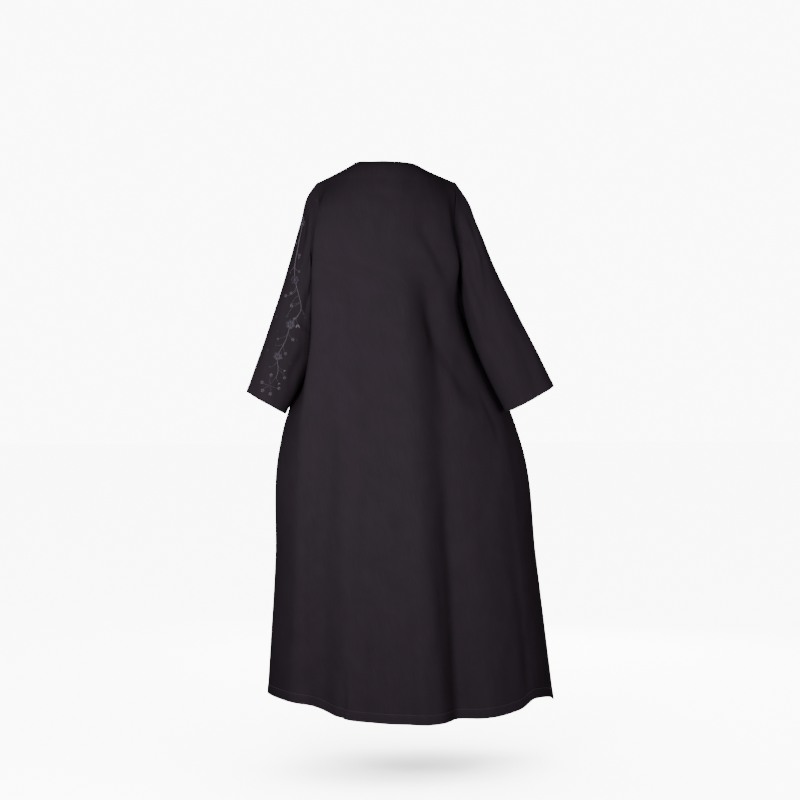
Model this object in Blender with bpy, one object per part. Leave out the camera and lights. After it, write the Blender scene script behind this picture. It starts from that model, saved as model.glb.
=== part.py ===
"""A long open-front abaya cloak, held as it is worn: cut wide in the hem, with set-in straight
sleeves, a collarless neck and two fronts that meet at the centre.

Metres, +Z up. The origin is between the two points where the shoulder seams meet the neck. The
fronts face -Y and the back faces +Y, so the wearer's left sleeve is at +X. Depths below the origin
are called drops. Every piece is a wall of cloth, lofted through sections that the tables give.
"""

import math

import bmesh
import bpy
import numpy as np

# Cloth and seams
CLOTH = 0.0016
SEAM_GAP = 0.0003
MITRE_LIMIT = 0.45

# Neck and shoulders
NECK_HALF_WIDTH = 0.068
SHOULDER_SLOPE_POWER = 0.85
NAPE_DEPTH = 0.056
NAPE_DROP = 0.006
FRONT_NECK_DEPTH = 0.092
FRONT_NECK_DROP = 0.150
SHOULDER_ROUNDING = 0.115
ARMPIT_DROP = 0.272
ARMHOLE_BACK_DEPTH = 0.048
ARMHOLE_FRONT_DEPTH = 0.046

# The fronts meet at the neck and part slightly towards the hem
HEM_DROP = 1.374
FRONT_PARTING_TOP = 0.003
FRONT_PARTING_HEM = 0.034

# How softly the body turns at its corners and into its side seams, and over how much of its
# length a sleeve changes from the armhole's shape to a rounded one
CORNER_SOFTNESS = 0.42
SEAM_SOFTNESS = 0.55
SLEEVE_HEAD_SHARE = 0.28

# Lengths over which a fold fades in and out, and the share across where it starts to fade
FOLD_FADE_IN = 0.16
FOLD_FADE_OUT = 0.08
FOLD_REACH = 0.78

# Grid of each piece
HALF_COLUMNS = 14
NECK_COLUMNS = 6
CORNER_SHARE = 0.72
ARMHOLE_ROWS = 12
SKIRT_ROWS = 22
SLEEVE_RINGS = 16

LEFT, RIGHT = 1, -1

# Shoulder tips as (x, drop) from the centre. The right shoulder is held a little wider.
SHOULDER_TIP = {LEFT: (0.170, 0.053), RIGHT: (0.183, 0.047)}


def table(columns, *rows):
    """A table whose first column is the drop or share that the others are read at."""
    return dict(zip(columns.split(), np.array(rows, float).T))


# The centre lines of the body
CENTRE = table(
    "drop   x       back_y  front_y",
    (0.050, 0.000, 0.104, -0.105),
    (0.160, 0.000, 0.120, -0.122),
    (0.272, -0.004, 0.127, -0.140),
    (0.450, -0.018, 0.132, -0.138),
    (0.630, -0.037, 0.140, -0.136),
    (0.720, -0.044, 0.146, -0.140),
    (1.000, -0.054, 0.182, -0.170),
    (1.374, -0.065, 0.236, -0.222),
)

# Each side of the body: its seam, and the soft corners where back and front turn towards it.
# Above the armpit the seam opens into the armhole.
SIDES = {
    LEFT: table(
        "drop   seam_x seam_y back_corner_x back_corner_y front_corner_x front_corner_y",
        (0.050, 0.170, 0.000, 0.154, 0.052, 0.150, -0.055),
        (0.160, 0.168, -0.004, 0.184, 0.083, 0.156, -0.092),
        (0.272, 0.172, -0.014, 0.192, 0.084, 0.166, -0.100),
        (0.350, 0.158, -0.036, 0.194, 0.090, 0.180, -0.108),
        (0.450, 0.160, -0.046, 0.196, 0.094, 0.190, -0.114),
        (0.540, 0.182, -0.048, 0.206, 0.094, 0.206, -0.116),
        (0.630, 0.238, -0.036, 0.218, 0.088, 0.226, -0.110),
        (0.720, 0.263, -0.014, 0.224, 0.088, 0.232, -0.106),
        (1.000, 0.274, -0.006, 0.234, 0.104, 0.234, -0.112),
        (1.374, 0.296, -0.004, 0.252, 0.130, 0.252, -0.140),
    ),
    RIGHT: table(
        "drop   seam_x seam_y back_corner_x back_corner_y front_corner_x front_corner_y",
        (0.047, 0.183, 0.000, 0.154, 0.050, 0.150, -0.055),
        (0.160, 0.166, -0.002, 0.154, 0.084, 0.152, -0.092),
        (0.272, 0.179, -0.010, 0.174, 0.076, 0.166, -0.100),
        (0.305, 0.196, -0.054, 0.175, 0.071, 0.184, -0.106),
        (0.350, 0.219, -0.074, 0.170, 0.062, 0.196, -0.114),
        (0.450, 0.262, -0.072, 0.188, 0.050, 0.218, -0.118),
        (0.540, 0.304, -0.062, 0.218, 0.050, 0.246, -0.114),
        (0.630, 0.334, -0.036, 0.258, 0.054, 0.264, -0.106),
        (0.720, 0.358, -0.012, 0.294, 0.064, 0.294, -0.104),
        (1.000, 0.390, -0.006, 0.324, 0.092, 0.324, -0.112),
        (1.374, 0.438, -0.004, 0.356, 0.130, 0.356, -0.140),
    ),
}

# Drop of the hem across each half, from the centre line to the side seam
HEMS = {
    LEFT: table(
        "across back   front",
        (0.000, 1.374, 1.350),
        (0.250, 1.370, 1.350),
        (0.420, 1.356, 1.346),
        (0.540, 1.334, 1.340),
        (0.680, 1.326, 1.332),
        (1.000, 1.322, 1.322),
    ),
    RIGHT: table(
        "across back   front",
        (0.000, 1.374, 1.350),
        (0.300, 1.372, 1.352),
        (0.520, 1.362, 1.354),
        (0.750, 1.346, 1.354),
        (0.900, 1.352, 1.358),
        (1.000, 1.364, 1.364),
    ),
}

# Sleeve sections from the armhole to the cuff. Outer is the overarm line, inner the underarm.
SLEEVES = {
    LEFT: table(
        "share outer_x outer_drop inner_x inner_drop centre_y half_depth",
        (0.00, 0.170, 0.053, 0.172, 0.272, 0.000, 0.048),
        (0.06, 0.189, 0.082, 0.189, 0.283, -0.005, 0.050),
        (0.20, 0.210, 0.150, 0.184, 0.338, -0.012, 0.052),
        (0.40, 0.240, 0.262, 0.181, 0.430, -0.020, 0.051),
        (0.60, 0.275, 0.372, 0.192, 0.508, -0.023, 0.050),
        (0.80, 0.311, 0.478, 0.216, 0.573, -0.020, 0.047),
        (1.00, 0.345, 0.578, 0.250, 0.632, -0.014, 0.045),
    ),
    RIGHT: table(
        "share outer_x outer_drop inner_x inner_drop centre_y half_depth",
        (0.00, 0.183, 0.047, 0.179, 0.272, 0.000, 0.048),
        (0.06, 0.206, 0.082, 0.194, 0.283, 0.004, 0.051),
        (0.20, 0.233, 0.150, 0.204, 0.334, 0.016, 0.054),
        (0.40, 0.279, 0.262, 0.217, 0.412, 0.026, 0.053),
        (0.60, 0.330, 0.366, 0.244, 0.490, 0.037, 0.049),
        (0.80, 0.381, 0.466, 0.277, 0.562, 0.044, 0.047),
        (1.00, 0.428, 0.562, 0.310, 0.628, 0.047, 0.045),
    ),
}

# Folds: the line of each as (x, drop) points, its half width, and how far it stands out at its
# first and last points. A trough has a negative height.
BACK_FOLDS = (
    ("left ridge", ((0.110, 0.24), (0.120, 0.70), (0.124, 1.40)), 0.036, 0.003, 0.018),
    ("left trough", ((0.158, 0.55), (0.168, 1.00), (0.176, 1.40)), 0.036, -0.004, -0.030),
    ("right ridge", ((-0.022, 0.30), (-0.044, 0.60), (-0.062, 1.40)), 0.042, 0.004, 0.014),
    (
        "right trough",
        ((-0.052, 0.20), (-0.084, 0.34), (-0.122, 0.55), (-0.142, 1.40)),
        0.038,
        -0.010,
        -0.034,
    ),
    ("hand trough", ((-0.072, 0.33), (-0.152, 0.47), (-0.238, 0.65)), 0.028, -0.007, -0.008),
    ("far ridge", ((-0.222, 0.90), (-0.262, 1.40)), 0.045, 0.002, 0.012),
)
FRONT_FOLDS = (
    ("left ridge", ((0.085, 0.34), (0.100, 0.80), (0.110, 1.40)), 0.036, 0.002, 0.020),
    ("left trough", ((0.140, 0.60), (0.165, 1.40)), 0.036, -0.003, -0.026),
    ("right ridge", ((-0.120, 0.34), (-0.160, 0.80), (-0.195, 1.40)), 0.040, 0.002, 0.020),
    ("right trough", ((-0.215, 0.62), (-0.262, 1.40)), 0.036, -0.003, -0.022),
    ("centre trough", ((-0.100, 0.70), (-0.124, 1.40)), 0.030, -0.002, -0.012),
)

CLOTH_COLOUR = (0.014, 0.012, 0.014, 1.0)
CLOTH_ROUGHNESS = 0.82


def read(rows, column, at):
    """A smooth curve through one column of a table, level beyond its ends."""
    names = list(rows)
    levels, values = rows[names[0]], rows[column]
    slopes = np.gradient(values, levels)
    at = min(max(at, levels[0]), levels[-1])
    i = min(max(int(np.searchsorted(levels, at)) - 1, 0), len(levels) - 2)
    step = levels[i + 1] - levels[i]
    t = (at - levels[i]) / step
    return hermite(values[i], values[i + 1], slopes[i] * step, slopes[i + 1] * step, t)


def hermite(a, b, out_of_a, into_b, t):
    """The cubic from a to b with those end slopes."""
    return (
        a * (1 + 2 * t) * (1 - t) ** 2
        + out_of_a * t * (1 - t) ** 2
        + b * t * t * (3 - 2 * t)
        + into_b * t * t * (t - 1)
    )


def smooth_step(t):
    t = min(max(t, 0.0), 1.0)
    return t * t * (3 - 2 * t)


def unit(v):
    return v / max(np.linalg.norm(v), 1e-12)


def seam_point(side, face, drop):
    """(x, y) of the side seam, or above the armpit of the back or front edge of the armhole."""
    x = side * read(SIDES[side], "seam_x", drop)
    y = read(SIDES[side], "seam_y", drop)
    tip_drop = SHOULDER_TIP[side][1]
    share = (drop - tip_drop) / (ARMPIT_DROP - tip_drop)
    opening = math.sqrt(max(1 - (2 * share - 1) ** 2, 0.0))
    y += opening * (ARMHOLE_BACK_DEPTH if face == "back" else -ARMHOLE_FRONT_DEPTH)
    return np.array([x, y])


def section(side, face, drop, across):
    """(x, y) at a share of the way from the centre line to the seam of one half of the body."""
    rows = SIDES[side]
    centre = np.array([read(CENTRE, "x", drop), read(CENTRE, face + "_y", drop)])
    corner = np.array(
        [side * read(rows, face + "_corner_x", drop), read(rows, face + "_corner_y", drop)]
    )
    seam = seam_point(side, face, drop)
    outwards = np.array([side, 0.0])
    round_the_side = np.array([0.0, -math.copysign(1.0, centre[1])])
    turn = unit(unit(corner - centre) + unit(seam - corner))
    if across <= CORNER_SHARE:
        reach = np.linalg.norm(corner - centre)
        t = across / CORNER_SHARE
        return hermite(centre, corner, outwards * reach, turn * reach * CORNER_SOFTNESS, t)
    reach = np.linalg.norm(seam - corner)
    t = (across - CORNER_SHARE) / (1 - CORNER_SHARE)
    into_seam = round_the_side * reach * SEAM_SOFTNESS
    return hermite(corner, seam, turn * reach * CORNER_SOFTNESS, into_seam, t)


def top_edge(side, face, across):
    """(x, y, drop) on the neckline, then along the shoulder seam."""
    neck_share = NECK_COLUMNS / HALF_COLUMNS
    if across < neck_share:
        angle = across / neck_share * math.pi / 2
        if face == "back":
            depth, drop = NAPE_DEPTH * math.cos(angle), NAPE_DROP * math.cos(angle) ** 2
        else:
            depth = -FRONT_NECK_DEPTH * math.cos(angle)
            drop = FRONT_NECK_DROP * (1 - across / neck_share) ** 1.25
        return side * NECK_HALF_WIDTH * math.sin(angle), depth, drop
    t = (across - neck_share) / (1 - neck_share)
    tip_x, tip_drop = SHOULDER_TIP[side]
    x = NECK_HALF_WIDTH + (tip_x - NECK_HALF_WIDTH) * t
    return side * x, 0.0, tip_drop * t**SHOULDER_SLOPE_POWER


def fold_offset(face, x, drop, across):
    """How far the folds move the cloth outwards at a point, fading out towards the side seam."""
    total = 0.0
    for _, line, half_width, first, last in BACK_FOLDS if face == "back" else FRONT_FOLDS:
        xs = [p[0] for p in line]
        drops = [p[1] for p in line]
        if not drops[0] < drop:
            continue
        along = min((drop - drops[0]) / (drops[-1] - drops[0]), 1.0)
        ends = smooth_step((drop - drops[0]) / FOLD_FADE_IN)
        if drops[-1] < HEM_DROP:
            ends *= smooth_step((drops[-1] - drop) / FOLD_FADE_OUT)
        away = (x - np.interp(drop, drops, xs)) / half_width
        total += (first + (last - first) * along) * ends * math.exp(-away * away)
    return total * (1 - smooth_step((across - FOLD_REACH) / (1 - FOLD_REACH)))


def body_point(side, face, across, row):
    """A point of the cloth's middle surface, by its share across and its row down."""
    top_x, top_y, top_drop = top_edge(side, face, across)
    if row <= ARMHOLE_ROWS:
        share = (1 - math.cos(math.pi * row / ARMHOLE_ROWS)) / 2
        drop = top_drop + (ARMPIT_DROP - top_drop) * share
    else:
        low = read(HEMS[side], face, across)
        drop = ARMPIT_DROP + (low - ARMPIT_DROP) * (row - ARMHOLE_ROWS) / SKIRT_ROWS
    x, y = section(side, face, drop, across)
    if face == "front":
        near_centre = max(1 - across * HALF_COLUMNS / NECK_COLUMNS, 0.0)
        top_x += side * FRONT_PARTING_TOP / 2 * near_centre
        parting = FRONT_PARTING_TOP + (FRONT_PARTING_HEM - FRONT_PARTING_TOP) * drop / HEM_DROP
        x += side * parting / 2 * (1 - across)
    outwards = 1.0 if face == "back" else -1.0
    y += outwards * fold_offset(face, x, drop, across)
    near_top = min((drop - top_drop) / SHOULDER_ROUNDING, 1.0)
    rise = math.sqrt(1 - (1 - near_top) ** 2)
    return np.array([top_x + (x - top_x) * rise, top_y + (y - top_y) * rise, -drop])


def body_grid(face, sides):
    """Rows of points down one piece of the body, from the wearer's right to the left."""
    shares = [i / HALF_COLUMNS for i in range(HALF_COLUMNS + 1)]
    columns = []
    if RIGHT in sides:
        columns += [(RIGHT, a) for a in reversed(shares)]
    if LEFT in sides:
        columns += [(LEFT, a) for a in shares if a > 0 or RIGHT not in sides]
    rows = ARMHOLE_ROWS + SKIRT_ROWS + 1
    return np.array([[body_point(s, face, a, r) for s, a in columns] for r in range(rows)])


def armhole_loop(side):
    """The armhole's points: down the back from the shoulder tip, then up the front."""
    back = [body_point(side, "back", 1.0, r) for r in range(ARMHOLE_ROWS + 1)]
    front = [body_point(side, "front", 1.0, r) for r in range(ARMHOLE_ROWS - 1, 0, -1)]
    return np.array(back + front)


def sleeve_grid(side):
    """Rings of points from the armhole to the cuff."""
    rows = SLEEVES[side]
    loop = armhole_loop(side)
    angles = [math.pi * i / ARMHOLE_ROWS for i in range(len(loop))]
    tip, armpit = loop[0], loop[ARMHOLE_ROWS]
    middle, half = (tip + armpit) / 2, (tip - armpit) / 2
    long_way = unit(half)
    depth_way = np.array([0.0, 1.0, 0.0])
    out_way = np.cross(long_way, depth_way)
    rings = []
    for ring in range(SLEEVE_RINGS + 1):
        share = ring / SLEEVE_RINGS
        outer_x, outer_drop = read(rows, "outer_x", share), read(rows, "outer_drop", share)
        inner_x, inner_drop = read(rows, "inner_x", share), read(rows, "inner_drop", share)
        outer = np.array([side * outer_x, 0.0, -outer_drop])
        inner = np.array([side * inner_x, 0.0, -inner_drop])
        ring_middle, ring_half = (outer + inner) / 2, (outer - inner) / 2
        ring_out = np.cross(unit(ring_half), depth_way)
        centre_y = read(rows, "centre_y", share)
        half_depth = read(rows, "half_depth", share)
        made = smooth_step(share / SLEEVE_HEAD_SHARE)
        points = []
        for point, angle in zip(loop, angles):
            offset = point - middle
            along = (1 - made) * (offset @ long_way) / np.linalg.norm(half) + made * math.cos(angle)
            depth = (1 - made) * offset[1] + made * (centre_y + half_depth * math.sin(angle))
            bulge = (1 - made) * (offset @ out_way)
            points.append(ring_middle + along * ring_half + depth * depth_way + bulge * ring_out)
        rings.append(points)
    rings[0] = loop
    return np.array(rings)


def corner_normals(grid, wraps, flip):
    """The cloth's outward direction at each grid point, weighted by the faces around it."""
    rows, columns = grid.shape[:2]
    normals = np.zeros_like(grid)
    for r in range(rows - 1):
        for c in range(columns if wraps else columns - 1):
            d = (c + 1) % columns
            across = grid[r + 1, d] - grid[r, c]
            back = grid[r, d] - grid[r + 1, c]
            face = np.cross(across, back) * (-1 if flip else 1)
            for at in ((r, c), (r, d), (r + 1, c), (r + 1, d)):
                normals[at] += face
    return normals


def inward_ways(grid, wraps):
    """At each edge point of a grid, the way into the piece, square to the edge; else nothing."""
    rows, columns = grid.shape[:2]
    last_row, last_column = rows - 1, columns - 1
    ways = np.zeros_like(grid)

    def add(at, inner, before, after):
        along = unit(grid[after] - grid[before])
        way = grid[inner] - grid[at]
        ways[at] += unit(way - (way @ along) * along)

    for c in range(columns):
        before, after = max(c - 1, 0), min(c + 1, last_column)
        if wraps:
            before, after = (c - 1) % columns, (c + 1) % columns
        add((0, c), (1, c), (0, before), (0, after))
        add((last_row, c), (last_row - 1, c), (last_row, before), (last_row, after))
    if not wraps:
        for r in range(rows):
            before, after = max(r - 1, 0), min(r + 1, last_row)
            add((r, 0), (r, 1), (before, 0), (after, 0))
            add((r, last_column), (r, last_column - 1), (before, last_column), (after, last_column))
    return ways


def seam_offset(group):
    """Half the wall at a seam point: between the directions of the body and the sleeve, and long
    enough to keep the wall's thickness on both."""
    own = [unit(piece["normals"][at]) for piece, at in group]
    kinds = [piece["wraps"] for piece, _ in group]
    shared = np.zeros(3)
    for kind in set(kinds):
        shared += unit(sum(n for n, k in zip(own, kinds) if k == kind))
    shared = unit(shared)
    return shared * CLOTH / 2 / max(min(n @ shared for n in own), MITRE_LIMIT)


def sew(pieces):
    """Gives the pieces at each seam point one shared offset, and parts them by the seam gap."""
    meeting = {}
    for piece in pieces:
        piece["normals"] = corner_normals(piece["grid"], piece["wraps"], piece["flip"])
        piece["ways"] = inward_ways(piece["grid"], piece["wraps"])
        piece["offsets"] = np.apply_along_axis(unit, 2, piece["normals"]) * CLOTH / 2
        for at in np.ndindex(piece["grid"].shape[:2]):
            if piece["ways"][at].any():
                key = tuple(np.round(piece["grid"][at], 6))
                meeting.setdefault(key, []).append((piece, at))
    for group in meeting.values():
        if len(group) < 2:
            continue
        offset = seam_offset(group)
        ways = [unit(piece["ways"][at]) for piece, at in group]
        total = sum(ways)
        across_wall = unit(offset)
        for (piece, at), own in zip(group, ways):
            away = own - (total - own) / (len(group) - 1)
            away -= (away @ across_wall) * across_wall
            piece["grid"][at] += unit(away) * SEAM_GAP / 2
            piece["offsets"][at] = offset


def wall_mesh(piece):
    """A closed wall of cloth through a piece's points: two skins and the cut edges between them."""
    grid = piece["grid"]
    rows, columns = grid.shape[:2]
    mesh = bmesh.new()
    skins = []
    for way in (1, -1):
        skin = {}
        for at in np.ndindex(rows, columns):
            skin[at] = mesh.verts.new(grid[at] + way * piece["offsets"][at])
        skins.append(skin)
    outer, inner = skins
    last = columns if piece["wraps"] else columns - 1
    for r in range(rows - 1):
        for c in range(last):
            d = (c + 1) % columns
            ring = [(r, c), (r + 1, c), (r + 1, d), (r, d)]
            falling = np.linalg.norm(grid[ring[0]] - grid[ring[2]])
            rising = np.linalg.norm(grid[ring[1]] - grid[ring[3]])
            if rising < falling:
                ring = ring[1:] + ring[:1]
            for corners in (ring[:3], ring[2:] + ring[:1]):
                if piece["flip"]:
                    corners = corners[::-1]
                mesh.faces.new([outer[at] for at in corners])
                mesh.faces.new([inner[at] for at in reversed(corners)])
    edges = [[(0, c), (0, (c + 1) % columns)] for c in range(last)]
    edges += [[(rows - 1, (c + 1) % columns), (rows - 1, c)] for c in range(last)]
    if not piece["wraps"]:
        edges += [[(r + 1, 0), (r, 0)] for r in range(rows - 1)]
        edges += [[(r, columns - 1), (r + 1, columns - 1)] for r in range(rows - 1)]
    for a, b in edges:
        ring = [outer[a], outer[b], inner[b], inner[a]]
        if (outer[b].co - inner[a].co).length < (outer[a].co - inner[b].co).length:
            ring = ring[1:] + ring[:1]
        for corners in (ring[:3], ring[2:] + ring[:1]):
            mesh.faces.new(corners[::-1] if piece["flip"] else corners)
    return mesh


def cloth_material(name):
    """Black woven crepe, plain."""
    material = bpy.data.materials.new(name)
    material.use_nodes = True
    shader = material.node_tree.nodes["Principled BSDF"]
    shader.inputs["Base Color"].default_value = CLOTH_COLOUR
    shader.inputs["Roughness"].default_value = CLOTH_ROUGHNESS
    shader.inputs["Metallic"].default_value = 0.0
    return material


def add_piece(piece, collection):
    """The finished object of one piece, shaded smooth but for its cut edges."""
    mesh = wall_mesh(piece)
    data = bpy.data.meshes.new(piece["name"])
    mesh.to_mesh(data)
    mesh.free()
    data.materials.append(cloth_material(piece["name"] + "_cloth"))
    data.shade_smooth()
    data.set_sharp_from_angle(angle=math.radians(60))
    item = bpy.data.objects.new(piece["name"], data)
    collection.objects.link(item)


def main():
    for item in list(bpy.data.objects):
        bpy.data.objects.remove(item)
    collection = bpy.data.collections.new("abaya_cloak")
    bpy.context.scene.collection.children.link(collection)
    pieces = [
        {"name": "back", "grid": body_grid("back", (RIGHT, LEFT)), "wraps": False, "flip": True},
        {"name": "front_left", "grid": body_grid("front", (LEFT,)), "wraps": False, "flip": False},
        {"name": "front_right", "grid": body_grid("front", (RIGHT,)), "wraps": False, "flip": False},
        {"name": "sleeve_left", "grid": sleeve_grid(LEFT), "wraps": True, "flip": False},
        {"name": "sleeve_right", "grid": sleeve_grid(RIGHT), "wraps": True, "flip": True},
    ]
    sew(pieces)
    for piece in pieces:
        add_piece(piece, collection)


main()
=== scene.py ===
"""The looks of a long black abaya cloak: crepe cloth in its hanging folds and creases, turned
and topstitched hems, and a flowering branch embroidered in grey thread on the left sleeve.

Metres, +Z up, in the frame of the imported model: the back faces +Y and the wearer's left is +X.
Depths below the origin are called drops. The five cloth pieces are cut as the model's solids are,
on a finer grid, and take their places. A few edges lie some millimetres away from the solids', so
that the cloth closes up beside the right sleeve and its hem and shoulders hang as they should.
"""

import functools
import math

import bmesh
import bpy
import numpy as np
from bpy.props import FloatProperty, FloatVectorProperty, PointerProperty
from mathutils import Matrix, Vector


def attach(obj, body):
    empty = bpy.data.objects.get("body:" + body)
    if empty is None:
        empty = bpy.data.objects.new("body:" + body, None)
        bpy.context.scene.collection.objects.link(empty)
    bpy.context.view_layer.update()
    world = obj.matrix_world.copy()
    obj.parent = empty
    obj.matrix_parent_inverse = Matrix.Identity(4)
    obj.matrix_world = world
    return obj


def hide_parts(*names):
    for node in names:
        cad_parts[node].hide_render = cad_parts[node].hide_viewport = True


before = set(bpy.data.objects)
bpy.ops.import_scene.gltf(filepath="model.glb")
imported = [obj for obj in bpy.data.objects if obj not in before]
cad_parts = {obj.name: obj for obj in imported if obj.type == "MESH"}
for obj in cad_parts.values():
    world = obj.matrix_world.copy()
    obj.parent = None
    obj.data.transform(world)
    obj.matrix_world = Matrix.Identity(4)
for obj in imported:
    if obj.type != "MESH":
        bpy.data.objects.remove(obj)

bl_info = {
    "name": "Abaya cloak",
    "version": (1, 0, 0),
    "blender": (4, 5, 0),
    "location": "3D View > Sidebar > Cloak",
    "description": "Sews the cloak's cloth, hems and sleeve embroidery round its packed model",
    "category": "Object",
}

LEFT, RIGHT = 1, -1
MILLIMETRE = 0.001

# Cut of the cloak, as in the solids but for a few edges
MITRE_LIMIT = 0.45
NECK_HALF_WIDTH = 0.068
SHOULDER_SLOPE_POWER = 0.85
NAPE_DEPTH = 0.056
NAPE_DROP = 0.003
FRONT_NECK_DEPTH = 0.092
FRONT_NECK_DROP = 0.150
FRONT_NECK_POWER = 1.25
SHOULDER_ROUNDING = 0.115
ARMPIT_DROP = 0.272
ARMHOLE_BACK_DEPTH = 0.048
ARMHOLE_FRONT_DEPTH = 0.046
HEM_DROP = 1.374
FRONT_PARTING_TOP = 0.003
FRONT_PARTING_HEM = 0.034
CORNER_SOFTNESS = 0.42
SEAM_SOFTNESS = 0.55
CORNER_SHARE = 0.72
NECK_SHARE = 6 / 14
SLEEVE_HEAD_SHARE = 0.28
SLEEVE_HEAD_BLEND = 0.09
FOLD_FADE_IN = 0.16
FOLD_FADE_OUT = 0.08
FOLD_REACH = 0.78
SHOULDER_TIP = {LEFT: (0.170, 0.053), RIGHT: (0.183, 0.044)}

# Flare of the back's right side: how strong it is, over which height it starts at the armpit, and
# over which it ends above a drop
SIDE_FLARE = 0.7
FLARE_START = 0.020
FLARE_FADE = 0.060
FLARE_END_DROP = 0.420

# Fine grid of each piece: even columns, with a few close to the seams, and rows close together
# at the turned hem and cuff, given as heights above the edge
HALF_COLUMNS = 70
SEAM_COLUMNS = (0.0065, 0.0028)
ARMHOLE_ROWS = 72
SKIRT_ROWS = 128
HEM_BAND = 0.036
HEM_ROWS = (0.0295, 0.0260, 0.0243, 0.0230, 0.0217, 0.0200, 0.0165, 0.011, 0.006, 0.0025, 0.0008, 0)
SLEEVE_RINGS = 92
ARMHOLE_RINGS = (0.0022, 0.0055)
CUFF_RINGS = (0.0245, 0.0215, 0.0190, 0.0170, 0.011, 0.006, 0.0025, 0.0008, 0)
CUFF_BAND = 0.030

# Building the meshes: a drop between a sleeve's two rims, the decimals to which seam points agree,
# the distance within which points are one, and the angle from which an edge is sharp
BETWEEN_RIMS_DROP = 0.35
SEAM_DECIMALS = 6
SAME_PLACE = 1e-6
SHARP_DEGREES = 60

# The turned edges: the heights of the hem's stitches and of the cuff's turned part, how much the
# turned cloth thickens each side of the wall, the height over which it does so and the share of
# that above the line, and how the fold itself rounds off
STITCH_ROW = 0.0230
CUFF_TURN = 0.0180
TURN_SWELL = 0.0007
TURN_FADE = 0.0055
STITCHED_SHARE_ABOVE = 0.35
PLAIN_SHARE_ABOVE = 0.5
ROUNDED_HEIGHT = 0.0012
ROUNDED_SWELL = 0.35
STITCH_PULL = 0.0004
STITCH_PULL_WIDTH = 0.0016

# Ridge that the seam allowances press up on both sides of a seam
SEAM_RIDGE = 0.0007
SEAM_DIP_WIDTH = 0.0030
SEAM_RIDGE_WIDTH = 0.0120

# Distances from a seam over which the creases fade in, and over which the ridge of the underarm
# seam starts. What is not on the shoulder counts as far from its seam.
SEAM_FADE = 0.030
ARMHOLE_FADE = 0.025
UNDERARM_FADE = 0.012
UNDERARM_RIDGE_START = 0.020
FAR = 1.0

# How many times higher the ridge is beside the upper part of each armhole, and the drops between
# which that fades in and out
ARMHOLE_PUFF = {LEFT: 2.6, RIGHT: 4.6}
PUFF_START, PUFF_FULL, PUFF_LOW, PUFF_END = 0.060, 0.085, 0.190, 0.262


def table(columns, *rows):
    """A table whose first column is the one that the others are read at."""
    return dict(zip(columns.split(), np.array(rows, float).T))


CENTRE = table(
    "drop   x       back_y  front_y",
    (0.050, 0.000, 0.104, -0.105),
    (0.160, 0.000, 0.120, -0.122),
    (0.272, -0.004, 0.127, -0.140),
    (0.450, -0.018, 0.132, -0.138),
    (0.630, -0.037, 0.140, -0.136),
    (0.720, -0.044, 0.146, -0.140),
    (1.000, -0.054, 0.182, -0.170),
    (1.374, -0.065, 0.236, -0.222),
)

SIDES = {
    LEFT: table(
        "drop   seam_x seam_y back_corner_x back_corner_y front_corner_x front_corner_y",
        (0.050, 0.170, 0.000, 0.154, 0.052, 0.150, -0.055),
        (0.160, 0.168, -0.004, 0.184, 0.083, 0.156, -0.092),
        (0.272, 0.172, -0.014, 0.192, 0.084, 0.166, -0.100),
        (0.350, 0.158, -0.036, 0.194, 0.090, 0.180, -0.108),
        (0.450, 0.160, -0.046, 0.196, 0.094, 0.190, -0.114),
        (0.540, 0.182, -0.048, 0.206, 0.094, 0.206, -0.116),
        (0.630, 0.238, -0.036, 0.218, 0.088, 0.226, -0.110),
        (0.720, 0.263, -0.014, 0.224, 0.088, 0.232, -0.106),
        (1.000, 0.274, -0.006, 0.234, 0.104, 0.234, -0.112),
        (1.374, 0.296, -0.004, 0.252, 0.130, 0.252, -0.140),
    ),
    RIGHT: table(
        "drop   seam_x seam_y back_corner_x back_corner_y front_corner_x front_corner_y",
        (0.044, 0.183, 0.000, 0.154, 0.050, 0.150, -0.055),
        (0.160, 0.166, -0.002, 0.154, 0.084, 0.152, -0.092),
        (0.272, 0.179, -0.010, 0.174, 0.076, 0.166, -0.100),
        (0.305, 0.209, -0.064, 0.170, 0.071, 0.184, -0.106),
        (0.350, 0.224, -0.080, 0.167, 0.062, 0.196, -0.114),
        (0.450, 0.262, -0.072, 0.188, 0.050, 0.218, -0.118),
        (0.540, 0.304, -0.062, 0.226, 0.050, 0.246, -0.114),
        (0.630, 0.337, -0.036, 0.268, 0.055, 0.266, -0.106),
        (0.720, 0.362, -0.012, 0.298, 0.064, 0.297, -0.104),
        (1.000, 0.396, -0.006, 0.328, 0.092, 0.328, -0.112),
        (1.374, 0.443, -0.004, 0.360, 0.130, 0.360, -0.140),
    ),
}

HEMS = {
    LEFT: table(
        "across back   front",
        (0.000, 1.374, 1.350),
        (0.250, 1.370, 1.350),
        (0.420, 1.356, 1.346),
        (0.540, 1.338, 1.342),
        (0.680, 1.332, 1.336),
        (1.000, 1.330, 1.330),
    ),
    RIGHT: table(
        "across back   front",
        (0.000, 1.374, 1.350),
        (0.300, 1.372, 1.352),
        (0.520, 1.362, 1.354),
        (0.750, 1.343, 1.354),
        (0.900, 1.355, 1.360),
        (1.000, 1.371, 1.371),
    ),
}

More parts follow.
